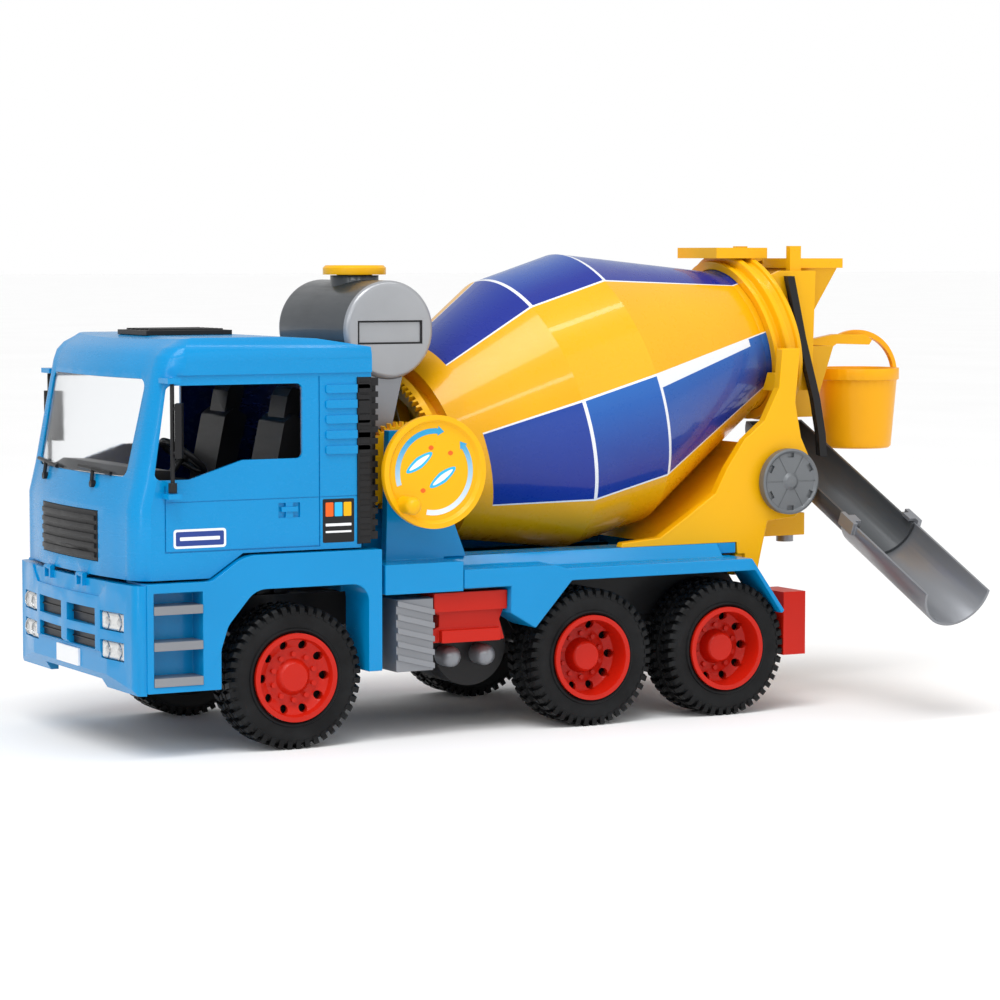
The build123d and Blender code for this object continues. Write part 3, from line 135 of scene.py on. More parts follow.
def math_node(tree, operation, a, b=None):
    """A Math node on sockets or numbers; returns its output socket."""
    node = tree.nodes.new("ShaderNodeMath")
    node.operation = operation
    for index, value in enumerate((a, b)):
        if value is None:
            continue
        if isinstance(value, (int, float)):
            node.inputs[index].default_value = value
        else:
            tree.links.new(value, node.inputs[index])
    return node.outputs[0]


def noise(tree, scale, detail=3.0, roughness=0.5, stretch=None):
    """Noise in object space; returns its factor socket."""
    coords = tree.nodes.new("ShaderNodeTexCoord")
    texture = add(tree, "ShaderNodeTexNoise", Scale=scale, Detail=detail, Roughness=roughness)
    if stretch:
        mapping = add(tree, "ShaderNodeMapping", Scale=stretch)
        join(tree, coords, mapping, "Object", "Vector")
        join(tree, mapping, texture, "Vector", "Vector")
    else:
        join(tree, coords, texture, "Object", "Vector")
    return texture.outputs["Fac"]


def ramp(tree, factor, stops):
    """Colour ramp of (position, colour) stops; returns its colour socket."""
    node = tree.nodes.new("ShaderNodeValToRGB")
    elements = node.color_ramp.elements
    while len(elements) < len(stops):
        elements.new(0.5)
    for element, (position, colour) in zip(elements, stops):
        element.position = position
        element.color = (*colour, 1.0)
    tree.links.new(factor, node.inputs[0])
    return node.outputs[0]


def shade(colour, factor):
    return tuple(min(1.0, max(0.0, c * factor)) for c in colour)


def mix(tree, factor, a, b):
    """Mix of two colours (sockets or triples) by a socket; returns the colour socket."""
    node = tree.nodes.new("ShaderNodeMix")
    node.data_type = "RGBA"
    tree.links.new(factor, node.inputs[0])
    for index, value in ((6, a), (7, b)):
        if isinstance(value, tuple):
            node.inputs[index].default_value = (*value, 1.0)
        else:
            tree.links.new(value, node.inputs[index])
    return node.outputs[2]


def bump_on(tree, shader, factor, strength, distance):
    """Bump from a factor socket; distance is in metres."""
    node = add(tree, "ShaderNodeBump", Strength=strength, Distance=distance)
    tree.links.new(factor, node.inputs["Height"])
    join(tree, node, shader, "Normal", "Normal")


def grey_ramp(tree, factor, low, high):
    """Ramp between two greys, each a (position, level); returns its socket."""
    return ramp(tree, factor, [(position, (level,) * 3) for position, level in (low, high)])


def object_axes(tree):
    """Separate XYZ of the object coordinates, which are the row frame in metres."""
    coords = tree.nodes.new("ShaderNodeTexCoord")
    split = tree.nodes.new("ShaderNodeSeparateXYZ")
    join(tree, coords, split, "Object", 0)
    return split.outputs


def plastic(name, colour, rough=0.28, metallic=0.0, coat=0.08, grain=0.05, grain_scale=900.0, spread=0.06,
            specular=0.2):
    """Moulded plastic: slow colour drift, fine rub marks in the gloss and a moulded skin."""
    material, tree, shader = new_material(name)
    drift = noise(tree, 18.0, 2.0)
    colour_socket = ramp(tree, drift, [(0.25, shade(colour, 1 - spread)), (0.75, shade(colour, 1 + spread))])
    tree.links.new(colour_socket, shader.inputs["Base Color"])
    rubs = noise(tree, 220.0, 5.0, 0.65, stretch=(1.0, 0.25, 1.6))
    gloss = math_node(tree, "MULTIPLY_ADD", rubs, 0.16)
    gloss.node.inputs[2].default_value = rough - 0.08
    tree.links.new(gloss, shader.inputs["Roughness"])
    bump_on(tree, shader, noise(tree, grain_scale, 2.0), grain, 0.0004)
    shader.inputs["Metallic"].default_value = metallic
    shader.inputs["Coat Weight"].default_value = coat
    shader.inputs["Coat Roughness"].default_value = 0.12
    shader.inputs["Specular IOR Level"].default_value = specular
    return material


BLUE = plastic("body_blue", BODY_BLUE, rough=0.24, coat=0.2, spread=0.05)
YELLOW = plastic("drum_yellow", (0.85, 0.43, 0.003), rough=0.30, spread=0.03)
YELLOW_WARM = plastic("bucket_yellow", (0.88, 0.40, 0.003), rough=0.36, spread=0.03)
SILVER = plastic("silver_plastic", (0.25, 0.26, 0.28), rough=0.34, metallic=0.55, coat=0.12, spread=0.07)
GREY_DARK = plastic("dark_grey_plastic", (0.065, 0.07, 0.075), rough=0.42, metallic=0.35, coat=0.15)
LAMP_BEZEL = plastic("lamp_bezel", (0.50, 0.51, 0.52), rough=0.18, metallic=0.8, coat=0.5, spread=0.08)
KNOB_GREY = plastic("knob_grey", (0.17, 0.18, 0.19), rough=0.38, metallic=0.4, spread=0.07)
BLACK = plastic("black_plastic", (0.012, 0.012, 0.013), rough=0.40, grain=0.12, grain_scale=1500.0)
RED = plastic("red_plastic", (0.50, 0.011, 0.003), rough=0.36, spread=0.05)
RED_DEEP = plastic("red_deep_plastic", (0.50, 0.010, 0.006), rough=0.36, spread=0.05)
WHITE_PRINT = plastic("white_print", (0.82, 0.83, 0.85), rough=0.35, coat=0.2, spread=0.02)
CYAN_PRINT = plastic("cyan_print", (0.03, 0.45, 0.78), rough=0.35, coat=0.2, spread=0.05)
NAVY_PRINT = plastic("navy_print", (0.02, 0.05, 0.25), rough=0.35, coat=0.2, spread=0.05)
ORANGE_PRINT = plastic("orange_print", (0.90, 0.12, 0.01), rough=0.35, coat=0.2, spread=0.05)


def cab_material():
    """Body blue outside, painted navy shade on the inner faces of the cab's shell, black round the vents at its rear
    corners.
    """
    material, tree, shader = new_material("cab_blue")
    axes = object_axes(tree)

    def station(axis, start):
        return math_node(tree, "MULTIPLY", math_node(tree, "SUBTRACT", axes[axis], start), 1000.0)

    def every(tests):
        result = tests[0]
        for test in tests[1:]:
            result = math_node(tree, "MULTIPLY", result, test)
        return result

    x, y, z = station("X", ORIGIN.x), station("Y", ORIGIN.y), station("Z", 0.0)
    side = math_node(tree, "ABSOLUTE", y)

    # The shell's inner front face, where the painted shade begins: nose, bow and lean, set back at the rounded
    # corners and the pillars.
    bow = math_node(tree, "MULTIPLY", math_node(tree, "MULTIPLY", y, y), CAB_BOW / CAB_SIDE_Y ** 2)
    lean = math_node(tree, "MAXIMUM", math_node(tree, "SUBTRACT", z, CAB_WAIST_Z), 0.0)
    lean = math_node(tree, "MULTIPLY", lean, CAB_LEAN)
    past = math_node(tree, "SUBTRACT", side, CAB_SIDE_Y - CAB_CORNER)
    past = math_node(tree, "MINIMUM", math_node(tree, "MAXIMUM", past, 0.0), CAB_CORNER)
    rest = math_node(tree, "SUBTRACT", CAB_CORNER ** 2, math_node(tree, "MULTIPLY", past, past))
    corner = math_node(tree, "SUBTRACT", CAB_CORNER, math_node(tree, "SQRT", rest))
    pillar = math_node(tree, "MAXIMUM", math_node(tree, "SUBTRACT", side, PILLAR_Y), 0.0)
    pillar = math_node(tree, "MULTIPLY", pillar, PILLAR_SLOPE)
    front = math_node(tree, "ADD", math_node(tree, "ADD", bow, lean), CAB_NOSE_X + 1.7)
    front = math_node(tree, "ADD", math_node(tree, "ADD", front, corner), pillar)

    # Painted shade: the shell's inner faces below the shade's top height are coloured navy.
    painted_inside_shade = every([
        math_node(tree, "LESS_THAN", side, CAB_SIDE_Y - CAB_WALL),
        math_node(tree, "GREATER_THAN", x, front),
        math_node(tree, "LESS_THAN", x, CAB_BACK_X),
        math_node(tree, "LESS_THAN", z, CAB_SHADE_TOP_Z),
    ])
    wrap = every([
        math_node(tree, "GREATER_THAN", x, VENT_FROM_X),
        math_node(tree, "GREATER_THAN", side, CAB_SIDE_Y - 0.6),
        math_node(tree, "LESS_THAN", z, VENT_HIGH_Z),
        math_node(tree, "GREATER_THAN", z, VENT_LOW_Z),
    ])
    blue = ramp(tree, noise(tree, 18.0, 2.0), [(0.25, shade(BODY_BLUE, 0.95)), (0.75, shade(BODY_BLUE, 1.05))])
    # the painted navy shade goes over the blue on the inner faces
    base = mix(tree, painted_inside_shade, blue, CAB_INSIDE_SHADE)
    tree.links.new(mix(tree, wrap, base, VENT_BLACK), shader.inputs["Base Color"])
    rubs = noise(tree, 220.0, 5.0, 0.65, stretch=(1.0, 0.25, 1.6))
    tree.links.new(grey_ramp(tree, rubs, (0.2, 0.20), (0.8, 0.32)), shader.inputs["Roughness"])
    bump_on(tree, shader, noise(tree, 900.0, 2.0), 0.05, 0.0004)
    shader.inputs["Coat Weight"].default_value = 0.2
    shader.inputs["Coat Roughness"].default_value = 0.12
    shader.inputs["Specular IOR Level"].default_value = 0.2
    return material


def tank_material():
    """Tank shell: dark grey round its barrel, light silver on its two end caps."""
    material, tree, shader = new_material("tank_silver")
    offset = math_node(tree, "SUBTRACT", object_axes(tree)["Y"], ORIGIN.y)
    end = math_node(tree, "GREATER_THAN", math_node(tree, "ABSOLUTE", offset), TANK_CAP_FROM / 1000.0)
    drift = noise(tree, 30.0, 3.0)
    dark = ramp(tree, drift, [(0.3, (0.045, 0.052, 0.058)), (0.7, (0.062, 0.070, 0.078))])
    light = ramp(tree, drift, [(0.3, (0.33, 0.34, 0.355)), (0.7, (0.37, 0.38, 0.40))])
    tree.links.new(mix(tree, end, dark, light), shader.inputs["Base Color"])
    rubs = noise(tree, 240.0, 5.0, 0.65, stretch=(1.0, 0.25, 1.6))
    tree.links.new(grey_ramp(tree, rubs, (0.2, 0.26), (0.8, 0.40)), shader.inputs["Roughness"])
    bump_on(tree, shader, noise(tree, 1000.0, 2.0), 0.06, 0.0004)
    shader.inputs["Metallic"].default_value = 0.45
    shader.inputs["Coat Weight"].default_value = 0.25
    return material


def tyre_material():
    """Black rubber with a little dust in its gloss and colour."""
    material, tree, shader = new_material("tyre_black")
    dust = noise(tree, 60.0, 5.0, 0.6)
    socket = ramp(tree, dust, [(0.35, (0.004, 0.004, 0.0045)), (0.8, (0.013, 0.014, 0.015))])
    tree.links.new(socket, shader.inputs["Base Color"])
    tree.links.new(grey_ramp(tree, dust, (0.3, 0.36), (0.8, 0.52)), shader.inputs["Roughness"])
    bump_on(tree, shader, noise(tree, 1400.0, 4.0, 0.7), 0.25, 0.0003)
    shader.inputs["Specular IOR Level"].default_value = 0.16
    return material


def steel_material():
    """Drawn steel with fine lines along Y, the way the axles run."""
    material, tree, shader = new_material("drawn_steel")
    lines = noise(tree, 700.0, 4.0, 0.6, stretch=(1.0, 0.03, 1.0))
    tree.links.new(grey_ramp(tree, lines, (0.2, 0.42), (0.8, 0.62)), shader.inputs["Base Color"])
    tree.links.new(grey_ramp(tree, lines, (0.2, 0.25), (0.8, 0.42)), shader.inputs["Roughness"])
    shader.inputs["Metallic"].default_value = 1.0
    return material


def pane_material():
    """Clear pane with faint smears in its gloss."""
    material, tree, shader = new_material("clear_pane")
    smear = noise(tree, 40.0, 4.0, 0.6)
    tree.links.new(grey_ramp(tree, smear, (0.3, 0.03), (0.9, 0.12)), shader.inputs["Roughness"])
    shader.inputs["Base Color"].default_value = (0.96, 0.98, 1.0, 1.0)
    shader.inputs["Transmission Weight"].default_value = 1.0
    shader.inputs["IOR"].default_value = 1.2
    return material


def lamp_material():
    """Clear lamp face over a bright bowl, with moulded facets."""
    material, tree, shader = new_material("lamp_clear")
    coords = tree.nodes.new("ShaderNodeTexCoord")
    facets = add(tree, "ShaderNodeTexVoronoi", Scale=1900.0)
    join(tree, coords, facets, "Object", "Vector")
    tree.links.new(ramp(tree, facets.outputs["Distance"], [(0.0, (0.80, 0.80, 0.77)), (0.8, (0.52, 0.53, 0.54))]),
                   shader.inputs["Base Color"])
    bump_on(tree, shader, facets.outputs["Distance"], 0.25, 0.0002)
    shader.inputs["Metallic"].default_value = 0.5
    shader.inputs["Roughness"].default_value = 0.16
    shader.inputs["Coat Weight"].default_value = 1.0
    return material


TYRE = tyre_material()
CAB_BLUE = cab_material()
TANK = tank_material()
STEEL = steel_material()
PANE = pane_material()
LAMP = lamp_material()


# ------------------------------------------------------------------ drum frame

spin = JOINTS["drum_spin"]
AXIS = Vector(spin["axis"]).normalized()
AXIS_AT = Vector(spin["pos_m"])
LIFT = Vector((-AXIS.z, 0.0, AXIS.x))   # square to the axis in the middle plane; the bands are counted from it
SIDE = AXIS.cross(LIFT)


def drum_material():
    """Yellow drum plastic with four printed blue bands, split and edged by white lines; each band's blue is lighter
    towards one edge, partly a printed gradient and partly a painted reflection.
    """
    material, tree, shader = new_material("drum_panels")
    coords = tree.nodes.new("ShaderNodeTexCoord")
    offset = tree.nodes.new("ShaderNodeVectorMath")
    offset.operation = "SUBTRACT"
    join(tree, coords, offset, "Object", 0)
    offset.inputs[1].default_value = AXIS_AT

    def along(direction):
        node = tree.nodes.new("ShaderNodeVectorMath")
        node.operation = "DOT_PRODUCT"
        join(tree, offset, node, 0, 0)
        node.inputs[1].default_value = direction
        return node.outputs["Value"]

    station = math_node(tree, "MULTIPLY", along(AXIS), 1000.0)
    turn = math_node(tree, "ARCTAN2", along(SIDE), along(LIFT))
    turn = math_node(tree, "MULTIPLY", turn, 180.0 / math.pi)
    turn = math_node(tree, "ADD", turn, PANEL_TURN + 360.0)
    turn = math_node(tree, "MODULO", turn, PANEL_PITCH)

    def between(value, start, end):
        return math_node(tree, "MULTIPLY", math_node(tree, "GREATER_THAN", value, start),
                         math_node(tree, "LESS_THAN", value, end))

    length = between(station, PANEL_FROM, PANEL_TO)
    band = math_node(tree, "MULTIPLY", between(turn, 0.0, PANEL_SPAN), length)
    inner = math_node(tree, "MULTIPLY", between(turn, PANEL_LINE, PANEL_SPAN - PANEL_LINE), length)
    for seam in PANEL_SEAMS:
        line = between(station, seam - SEAM_HALF, seam + SEAM_HALF)
        inner = math_node(tree, "MULTIPLY", inner, math_node(tree, "SUBTRACT", 1.0, line))
    strip = math_node(tree, "MULTIPLY", between(turn, 0.0, WHITE_STRIP_SPAN),
                      between(station, WHITE_STRIP_FROM, WHITE_STRIP_TO))
    inner = math_node(tree, "MULTIPLY", inner, math_node(tree, "SUBTRACT", 1.0, strip))
    drift = noise(tree, 22.0, 3.0)
    # Across each band the blue runs from light to deep: partly a printed gradient, partly a painted reflection at
    # the light end.
    depth = math_node(tree, "DIVIDE", turn, PANEL_SPAN)
    depth = math_node(tree, "ADD", depth, math_node(tree, "MULTIPLY", drift, 0.25))
    blue = ramp(tree, depth, [(0.05, PANEL_LIGHT_PRINT_AND_REFLECTION), (0.95, PANEL_DEEP)])
    front = math_node(tree, "LESS_THAN", station, PANEL_SEAMS[0])
    blue = mix(tree, math_node(tree, "MULTIPLY", front, 0.7), blue, PANEL_FRONT)
    yellow = ramp(tree, noise(tree, 15.0, 2.0), [(0.25, (0.80, 0.385, 0.003)), (0.75, (0.86, 0.43, 0.003))])
    base = mix(tree, band, yellow, PANEL_EDGE)
    tree.links.new(mix(tree, inner, base, blue), shader.inputs["Base Color"])
    rubs = noise(tree, 160.0, 5.0, 0.65, stretch=(1.0, 0.3, 1.4))
    tree.links.new(grey_ramp(tree, rubs, (0.25, 0.22), (0.8, 0.38)), shader.inputs["Roughness"])
    bump_on(tree, shader, noise(tree, 900.0, 2.0), 0.05, 0.0004)
    shader.inputs["Coat Weight"].default_value = 0.45
    shader.inputs["Coat Roughness"].default_value = 0.06
    shader.inputs["Specular IOR Level"].default_value = 0.22
    return material


DRUM = drum_material()


# ------------------------------------------------------------------ mesh helpers

SIDES = ((-1, "left"), (1, "right"))
BLOCK_FACES = [(0, 1, 3, 2), (4, 6, 7, 5), (0, 4, 5, 1), (2, 3, 7, 6), (0, 2, 6, 4), (1, 5, 7, 3)]
PRINT_DEPTH = -0.05                      # how far a print's back sits inside the surface that carries it


def finish_mesh(name, verts, faces, material, body, smooth=True, bevel=None, sharp=35.0):
    """A piece from points in the row frame; the points and the bevel width are in metres."""
    mesh = bpy.data.meshes.new(name)
    mesh.from_pydata([tuple(v) for v in verts], [], faces)
    tool = bmesh.new()
    tool.from_mesh(mesh)
    bmesh.ops.recalc_face_normals(tool, faces=tool.faces)
    tool.to_mesh(mesh)
    tool.free()
    mesh.materials.append(material)
    piece = bpy.data.objects.new(name, mesh)
    bpy.context.scene.collection.objects.link(piece)
    if bevel:
        cut = piece.modifiers.new("bevel", "BEVEL")
        cut.width, cut.segments, cut.limit_method = bevel, 2, "ANGLE"
        cut.angle_limit = math.radians(30)
        cut.use_clamp_overlap = True
    if smooth:
        for polygon in mesh.polygons:
            polygon.use_smooth = True
        mesh.set_sharp_from_angle(angle=math.radians(sharp))
    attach(piece, body)
    return piece


def at_place(place, x, y, z):
    """A local point in millimetres, put in the row frame."""
    return place @ (Vector((x, y, z)) / 1000.0)


def prism_faces(count):
    """Faces of a prism whose two ends have this many points each."""
    ends = [tuple(range(count)), tuple(range(2 * count - 1, count - 1, -1))]
    return ends + [(i, (i + 1) % count, count + (i + 1) % count, count + i) for i in range(count)]


def lathe(profile, count, place, closed=True):
    """Turn (radius, height) points in millimetres about the local Z of place."""
    verts, faces = [], []
    size = len(profile)
    for step in range(count):
        angle = 2 * math.pi * step / count
        verts += [at_place(place, radius * math.cos(angle), radius * math.sin(angle), height)
                  for radius, height in profile]
    spans = size if closed else size - 1
    for step in range(count):
        nxt = (step + 1) % count
        for i in range(spans):
            j = (i + 1) % size
            faces.append((step * size + i, nxt * size + i, nxt * size + j, step * size + j))
    return verts, faces


def slab(outline, low, high, place):
    """Extrude a flat outline of (x, y) millimetres between two heights of place."""
    verts = [at_place(place, x, y, height) for height in (low, high) for x, y in outline]
    return verts, prism_faces(len(outline))


def merged(parts):
    """Join several (verts, faces) lists."""
    verts, faces = [], []
    for more_verts, more_faces in parts:
        start = len(verts)
        verts += more_verts
        faces += [tuple(start + i for i in face) for face in more_faces]
    return verts, faces


def box_part(x0, x1, y0, y1, z0, z1):
    """A block in truck stations."""
    return [P(x, y, z) for x in (x0, x1) for y in (y0, y1) for z in (z0, z1)], BLOCK_FACES


def placed(x_axis, y_axis, z_axis, origin):
    """Placement whose columns are these axes and this origin."""
    return Matrix((*zip(x_axis, y_axis, z_axis, origin), (0, 0, 0, 1)))


def side_place(side, x=0.0, y=0.0, z=0.0):
    """Local X to the truck's rear, local Y up, local Z out of the truck's left (-1) or right (1) side."""
    return placed(Vector((1, 0, 0)), Vector((0, 0, 1)), Vector((0, side, 0)), P(x, y, z))


def facing(origin, x_axis, z_axis):
    """Placement at a point with local Z along z_axis and local X as near x_axis as it can be."""
    z_axis = z_axis.normalized()
    y_axis = z_axis.cross(x_axis).normalized()
    return placed(y_axis.cross(z_axis), y_axis, z_axis, origin)


# ------------------------------------------------------------------ CAD nodes: materials and softened edges

def paint(material, *nodes):
    """One material in every slot of these CAD nodes."""
    for node in nodes:
        piece = NODES[node]
        if not piece.material_slots:
            piece.data.materials.append(material)
        for place in piece.material_slots:
            place.material = material


def soften(node, width):
    """Round a CAD node's edges with modifiers, to a width in millimetres; its mesh stays as packed."""
    piece = NODES[node]
    weld = piece.modifiers.new("weld", "WELD")
    weld.merge_threshold = 0.00001
    cut = piece.modifiers.new("bevel", "BEVEL")
    cut.width, cut.segments, cut.limit_method = width / 1000.0, 2, "ANGLE"
    cut.angle_limit = math.radians(28.0)
    cut.harden_normals = True


paint(BLUE, "front_bumper", "fender_steps", "rear_deck", "pedestal")
paint(CAB_BLUE, "cab_shell")
paint(TANK, "tank_shell")
paint(YELLOW, "crown_gear", "hand_wheel", "tank_cap", "rear_frame", "mouth_collar", "hopper", "discharge_funnel",
      "bucket_hanger", "pinion")
paint(YELLOW_WARM, "bucket", "bucket_bail")
paint(DRUM, "drum_front", "drum_belt", "drum_rear")
paint(SILVER, "step_treads", "mufflers", "tank_cradle", "chute_lower", "air_tanks", "swivel_post", "knob_shaft")
paint(GREY_DARK, "chute_upper")
paint(KNOB_GREY, "side_knobs")
paint(BLACK, "chassis_frame", "engine_block", "ladder", "front_grille", "roof_hatch", "cab_back_panel", "seats",
      "dashboard", "steering_wheel", "wipers", "mirror_left", "mirror_right", "mixing_blades", "fuel_tanks")
paint(RED, "side_boxes", "rear_bumper", "front_rims", "middle_rims", "rear_rims")
paint(TYRE, "front_tyres", "middle_tyres", "rear_tyres")
paint(PANE, "windscreen")
paint(LAMP, "headlights")
paint(STEEL, "crank_shaft", "drum_spindle", "tilt_pin", "front_axle", "middle_axle", "rear_axle")
paint(WHITE_PRINT, "number_plate")

SOFT_EDGES = (
    (0.2, ("number_plate",)),
    (0.25, ("front_grille",)),
    (0.3, ("roof_hatch", "front_rims", "middle_rims", "rear_rims", "chute_upper", "chute_lower", "mirror_left",
           "mirror_right")),
    (0.4, ("hopper", "mouth_collar", "side_knobs", "bucket", "discharge_funnel", "bucket_hanger")),
    (0.45, ("fender_steps",)),
    (0.5, ("step_treads", "mufflers", "hand_wheel")),
    (0.6, ("front_bumper", "side_boxes", "tank_cap", "dashboard", "fuel_tanks")),
    (0.7, ("cab_shell", "rear_bumper", "rear_frame")),
    (0.8, ("rear_deck", "pedestal", "tank_shell")),
    (0.9, ("seats",)),
)
for edge_width, soft_nodes in SOFT_EDGES:
    for soft_node in soft_nodes:
        soften(soft_node, edge_width)


# ------------------------------------------------------------------ wheels

def tread_block(place, radii, widths, angles, skew=0.0, taper=0.18):
    """One tread block: radii (root, top), widths (from, to) along the axle and angles (from, to) in degrees.

    skew turns the block's far end ahead by that many degrees, and taper narrows its top by that share."""
    verts = []
    middle_w, middle_a = sum(widths) / 2, sum(angles) / 2
    for radius, pull in ((radii[0], 0.0), (radii[1], taper)):
        for w, lead in ((widths[0], 0.0), (widths[1], skew)):
            for a in angles:
                width = w + (middle_w - w) * pull
                angle = math.radians(a + (middle_a - a) * pull + lead)
                verts.append(at_place(place, radius * math.cos(angle), radius * math.sin(angle), width))
    return verts, BLOCK_FACES


def shoulder_block(place, face, inward, angles, skew):
    """A shoulder block: a bar across the tread's edge that runs down onto the sidewall."""
    section = [                          # radius and depth in from the sidewall
        (CARCASS_R - 0.4, 7.0), (TREAD_R, 6.6), (TREAD_R, 1.2), (TREAD_R - 1.2, 0.25), (32.6, 0.05), (32.3, 1.2)]
    verts = []
    for start in angles:
        for radius, depth in section:
            width = face - inward * depth
            angle = math.radians(start + skew * abs(face - width) / 7.0)
            verts.append(at_place(place, radius * math.cos(angle), radius * math.sin(angle), width))
    return verts, prism_faces(len(section))


def tyre_parts(place, near, far, twin):
    """Carcass and tread of one tyre between two stations along the axle; near is its outer sidewall."""
    middle = (near + far) / 2
    half = abs(near - far) / 2
    sign = 1.0 if near > far else -1.0

    def at(offset):
        return middle + sign * offset

    wall = [
        (22.9, half - 1.6), (23.6, half - 0.7), (24.4, half - 0.35), (25.2, half - 0.55), (25.6, half - 1.3),
        (27.5, half - 1.05), (30.0, half - 0.55), (32.0, half - 0.3), (33.6, half - 0.7), (34.5, half - 1.8),
        (CARCASS_R, half - 3.4),
    ]
    profile = [(r, at(o)) for r, o in wall]
    if twin:
        profile += [(CARCASS_R, at(1.6)), (33.2, at(1.0)), (32.4, at(0.0)), (33.2, at(-1.0)), (CARCASS_R, at(-1.6))]
    profile += [(r, at(-o)) for r, o in reversed(wall)]
    parts = [lathe(profile, 72, place)]
    step = 360.0 / LUGS
    inner = 2.0 if twin else 0.0
    for index in range(LUGS):
        start = index * step
        parts.append(shoulder_block(place, at(half), sign, (start, start + step * 0.55), step * 0.35))
        parts.append(shoulder_block(place, at(-half), -sign, (start + step / 2, start + step * 1.05), step * 0.35))
        for side in (1, -1):
            shift = 0.0 if side > 0 else step / 2
            widths = sorted((at(side * (inner + 0.4)), at(side * (half - 7.7))))
            angles = (start + shift + step * 0.15, start + shift + step * 0.78)
            parts.append(tread_block(place, (CARCASS_R - 0.4, TREAD_R), widths, angles, side * step * 0.25))
    return parts


def make_tyres():
    """A pair of treaded tyres on each axle, twins on the two rear ones."""
    for name, (x, width, _) in AXLES.items():
        parts = []
        for side in (-1, 1):
            place = side_place(side, x, 0.0, WHEEL_Z)
            parts += tyre_parts(place, TYRE_OUT_Y, TYRE_OUT_Y - width, twin=name != "front")
        verts, faces = merged(parts)
        piece = finish_mesh("tyre_pair_" + name, verts, faces, TYRE, name + "_wheels", sharp=32)
        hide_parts(name + "_tyres")


def make_wheel_wells():
    """Dark webbed backs inside the rims, seen through their holes."""
    radii, thick, rib_high, rib_half = (13.6, 20.4), 0.8, 1.6, 1.2
    for name, (x, _, recess) in AXLES.items():
        back = TYRE_OUT_Y - recess - 4.4
        profile = [(radii[0], back), (radii[1], back), (radii[1], back - thick), (radii[0], back - thick)]
        parts = []
        for side in (-1, 1):
            place = side_place(side, x, 0.0, WHEEL_Z)
            parts.append(lathe(profile, 60, place))
            for index in range(10):
                angle = index * 36.0 + 18.0
                parts.append(tread_block(place, radii, (back, back + rib_high), (angle - rib_half, angle + rib_half),
                                         0.0, 0.0))
        verts, faces = merged(parts)
        piece = finish_mesh("wheel_well_" + name, verts, faces, BLACK, name + "_wheels")


make_tyres()
make_wheel_wells()


# ------------------------------------------------------------------ prints on the hand wheel

def arc_band(radius_in, radius_out, start, end, steps=36):
    """Outline of a flat ring between two angles in degrees."""
    angles = [math.radians(start + (end - start) * index / steps) for index in range(steps + 1)]
    outer = [(radius_out * math.cos(angle), radius_out * math.sin(angle)) for angle in angles]
    inner = [(radius_in * math.cos(angle), radius_in * math.sin(angle)) for angle in angles]
    return outer + inner[::-1]


def leaf(cx, cy, length, width, tilt, steps=16):
    """Outline of a pointed oval, turned by tilt degrees."""
    points = []
    turn = math.radians(tilt)
    for index in range(2 * steps):
        t = index / steps
        along = length / 2 * math.cos(math.pi * t)
        across = width / 2 * math.sin(math.pi * t) * (1 - 0.25 * abs(math.cos(math.pi * t)))
        points.append((cx + along * math.cos(turn) - across * math.sin(turn),
                       cy + along * math.sin(turn) + across * math.cos(turn)))
    return points


def arrow_material():
    """Print of the arrows, which fades from white low on the wheel to blue at its top."""
    material, tree, shader = new_material("arrow_print")
    centre = P(HAND_WHEEL_X, 0, HAND_WHEEL_Z)
    height = math_node(tree, "SUBTRACT", object_axes(tree)["Z"], centre.z)
    fade = math_node(tree, "MULTIPLY", height, 22.0)
    fade = math_node(tree, "ADD", fade, 0.55)
    grain = math_node(tree, "MULTIPLY", noise(tree, 260.0, 3.0), 0.12)
    fade = math_node(tree, "ADD", fade, grain)
    tree.links.new(ramp(tree, fade, [(0.05, (0.80, 0.84, 0.86)), (0.95, (0.012, 0.33, 0.62))]),
                   shader.inputs["Base Color"])
    shader.inputs["Roughness"].default_value = 0.35
    return material


def make_prints():
    """Two turning arrows, two leaves and three dots: a plain stand-in for the printed disc."""
    place = side_place(-1, HAND_WHEEL_X, PRINT_Y, HAND_WHEEL_Z)
    arrow = arrow_material()

    def printed(name, outline, material, lift=0.12):
        verts, faces = slab(outline, PRINT_DEPTH, lift, place)
        piece = finish_mesh(name, verts, faces, material, "crank", smooth=False)

    arrows = ((84.0, 198.0, 84.0, -1.0), (-102.0, 36.0, 36.0, 1.0))   # band from and to, its head's angle and way
    for index, (start, end, tip, ahead) in enumerate(arrows):
        printed("arrow_band_%d" % index, arc_band(19.8, 22.6, start, end), arrow)
        turn = math.radians(tip)
        outline = [(r * math.cos(turn) - a * math.sin(turn), r * math.sin(turn) + a * math.cos(turn))
                   for r, a in ((18.8, 0.0), (23.8, 0.0), (21.2, ahead * 3.6))]
        printed("arrow_head_%d" % index, outline, arrow)
    for index, (cx, cy) in enumerate(((-8.6, 5.0), (5.0, -3.0))):
        printed("leaf_edge_%d" % index, leaf(cx, cy, 18.0, 6.0, 34.0), CYAN_PRINT, 0.08)
        printed("leaf_core_%d" % index, leaf(cx, cy, 14.0, 3.0, 34.0), WHITE_PRINT, 0.14)
    for index, (cx, cy) in enumerate(((9.5, 9.5), (-6.5, -9.5), (-1.8, 12.5))):
        printed("print_dot_%d" % index, leaf(cx, cy, 3.0, 2.6, 0.0), ORANGE_PRINT, 0.12)


make_prints()


# ------------------------------------------------------------------ lamps, plates, vents, liners and labels

def bumper_x(y):
    """The bumper's front face at a station y."""
    return BUMPER_NOSE_X + BUMPER_BOW * (y / BUMPER_HALF) ** 2


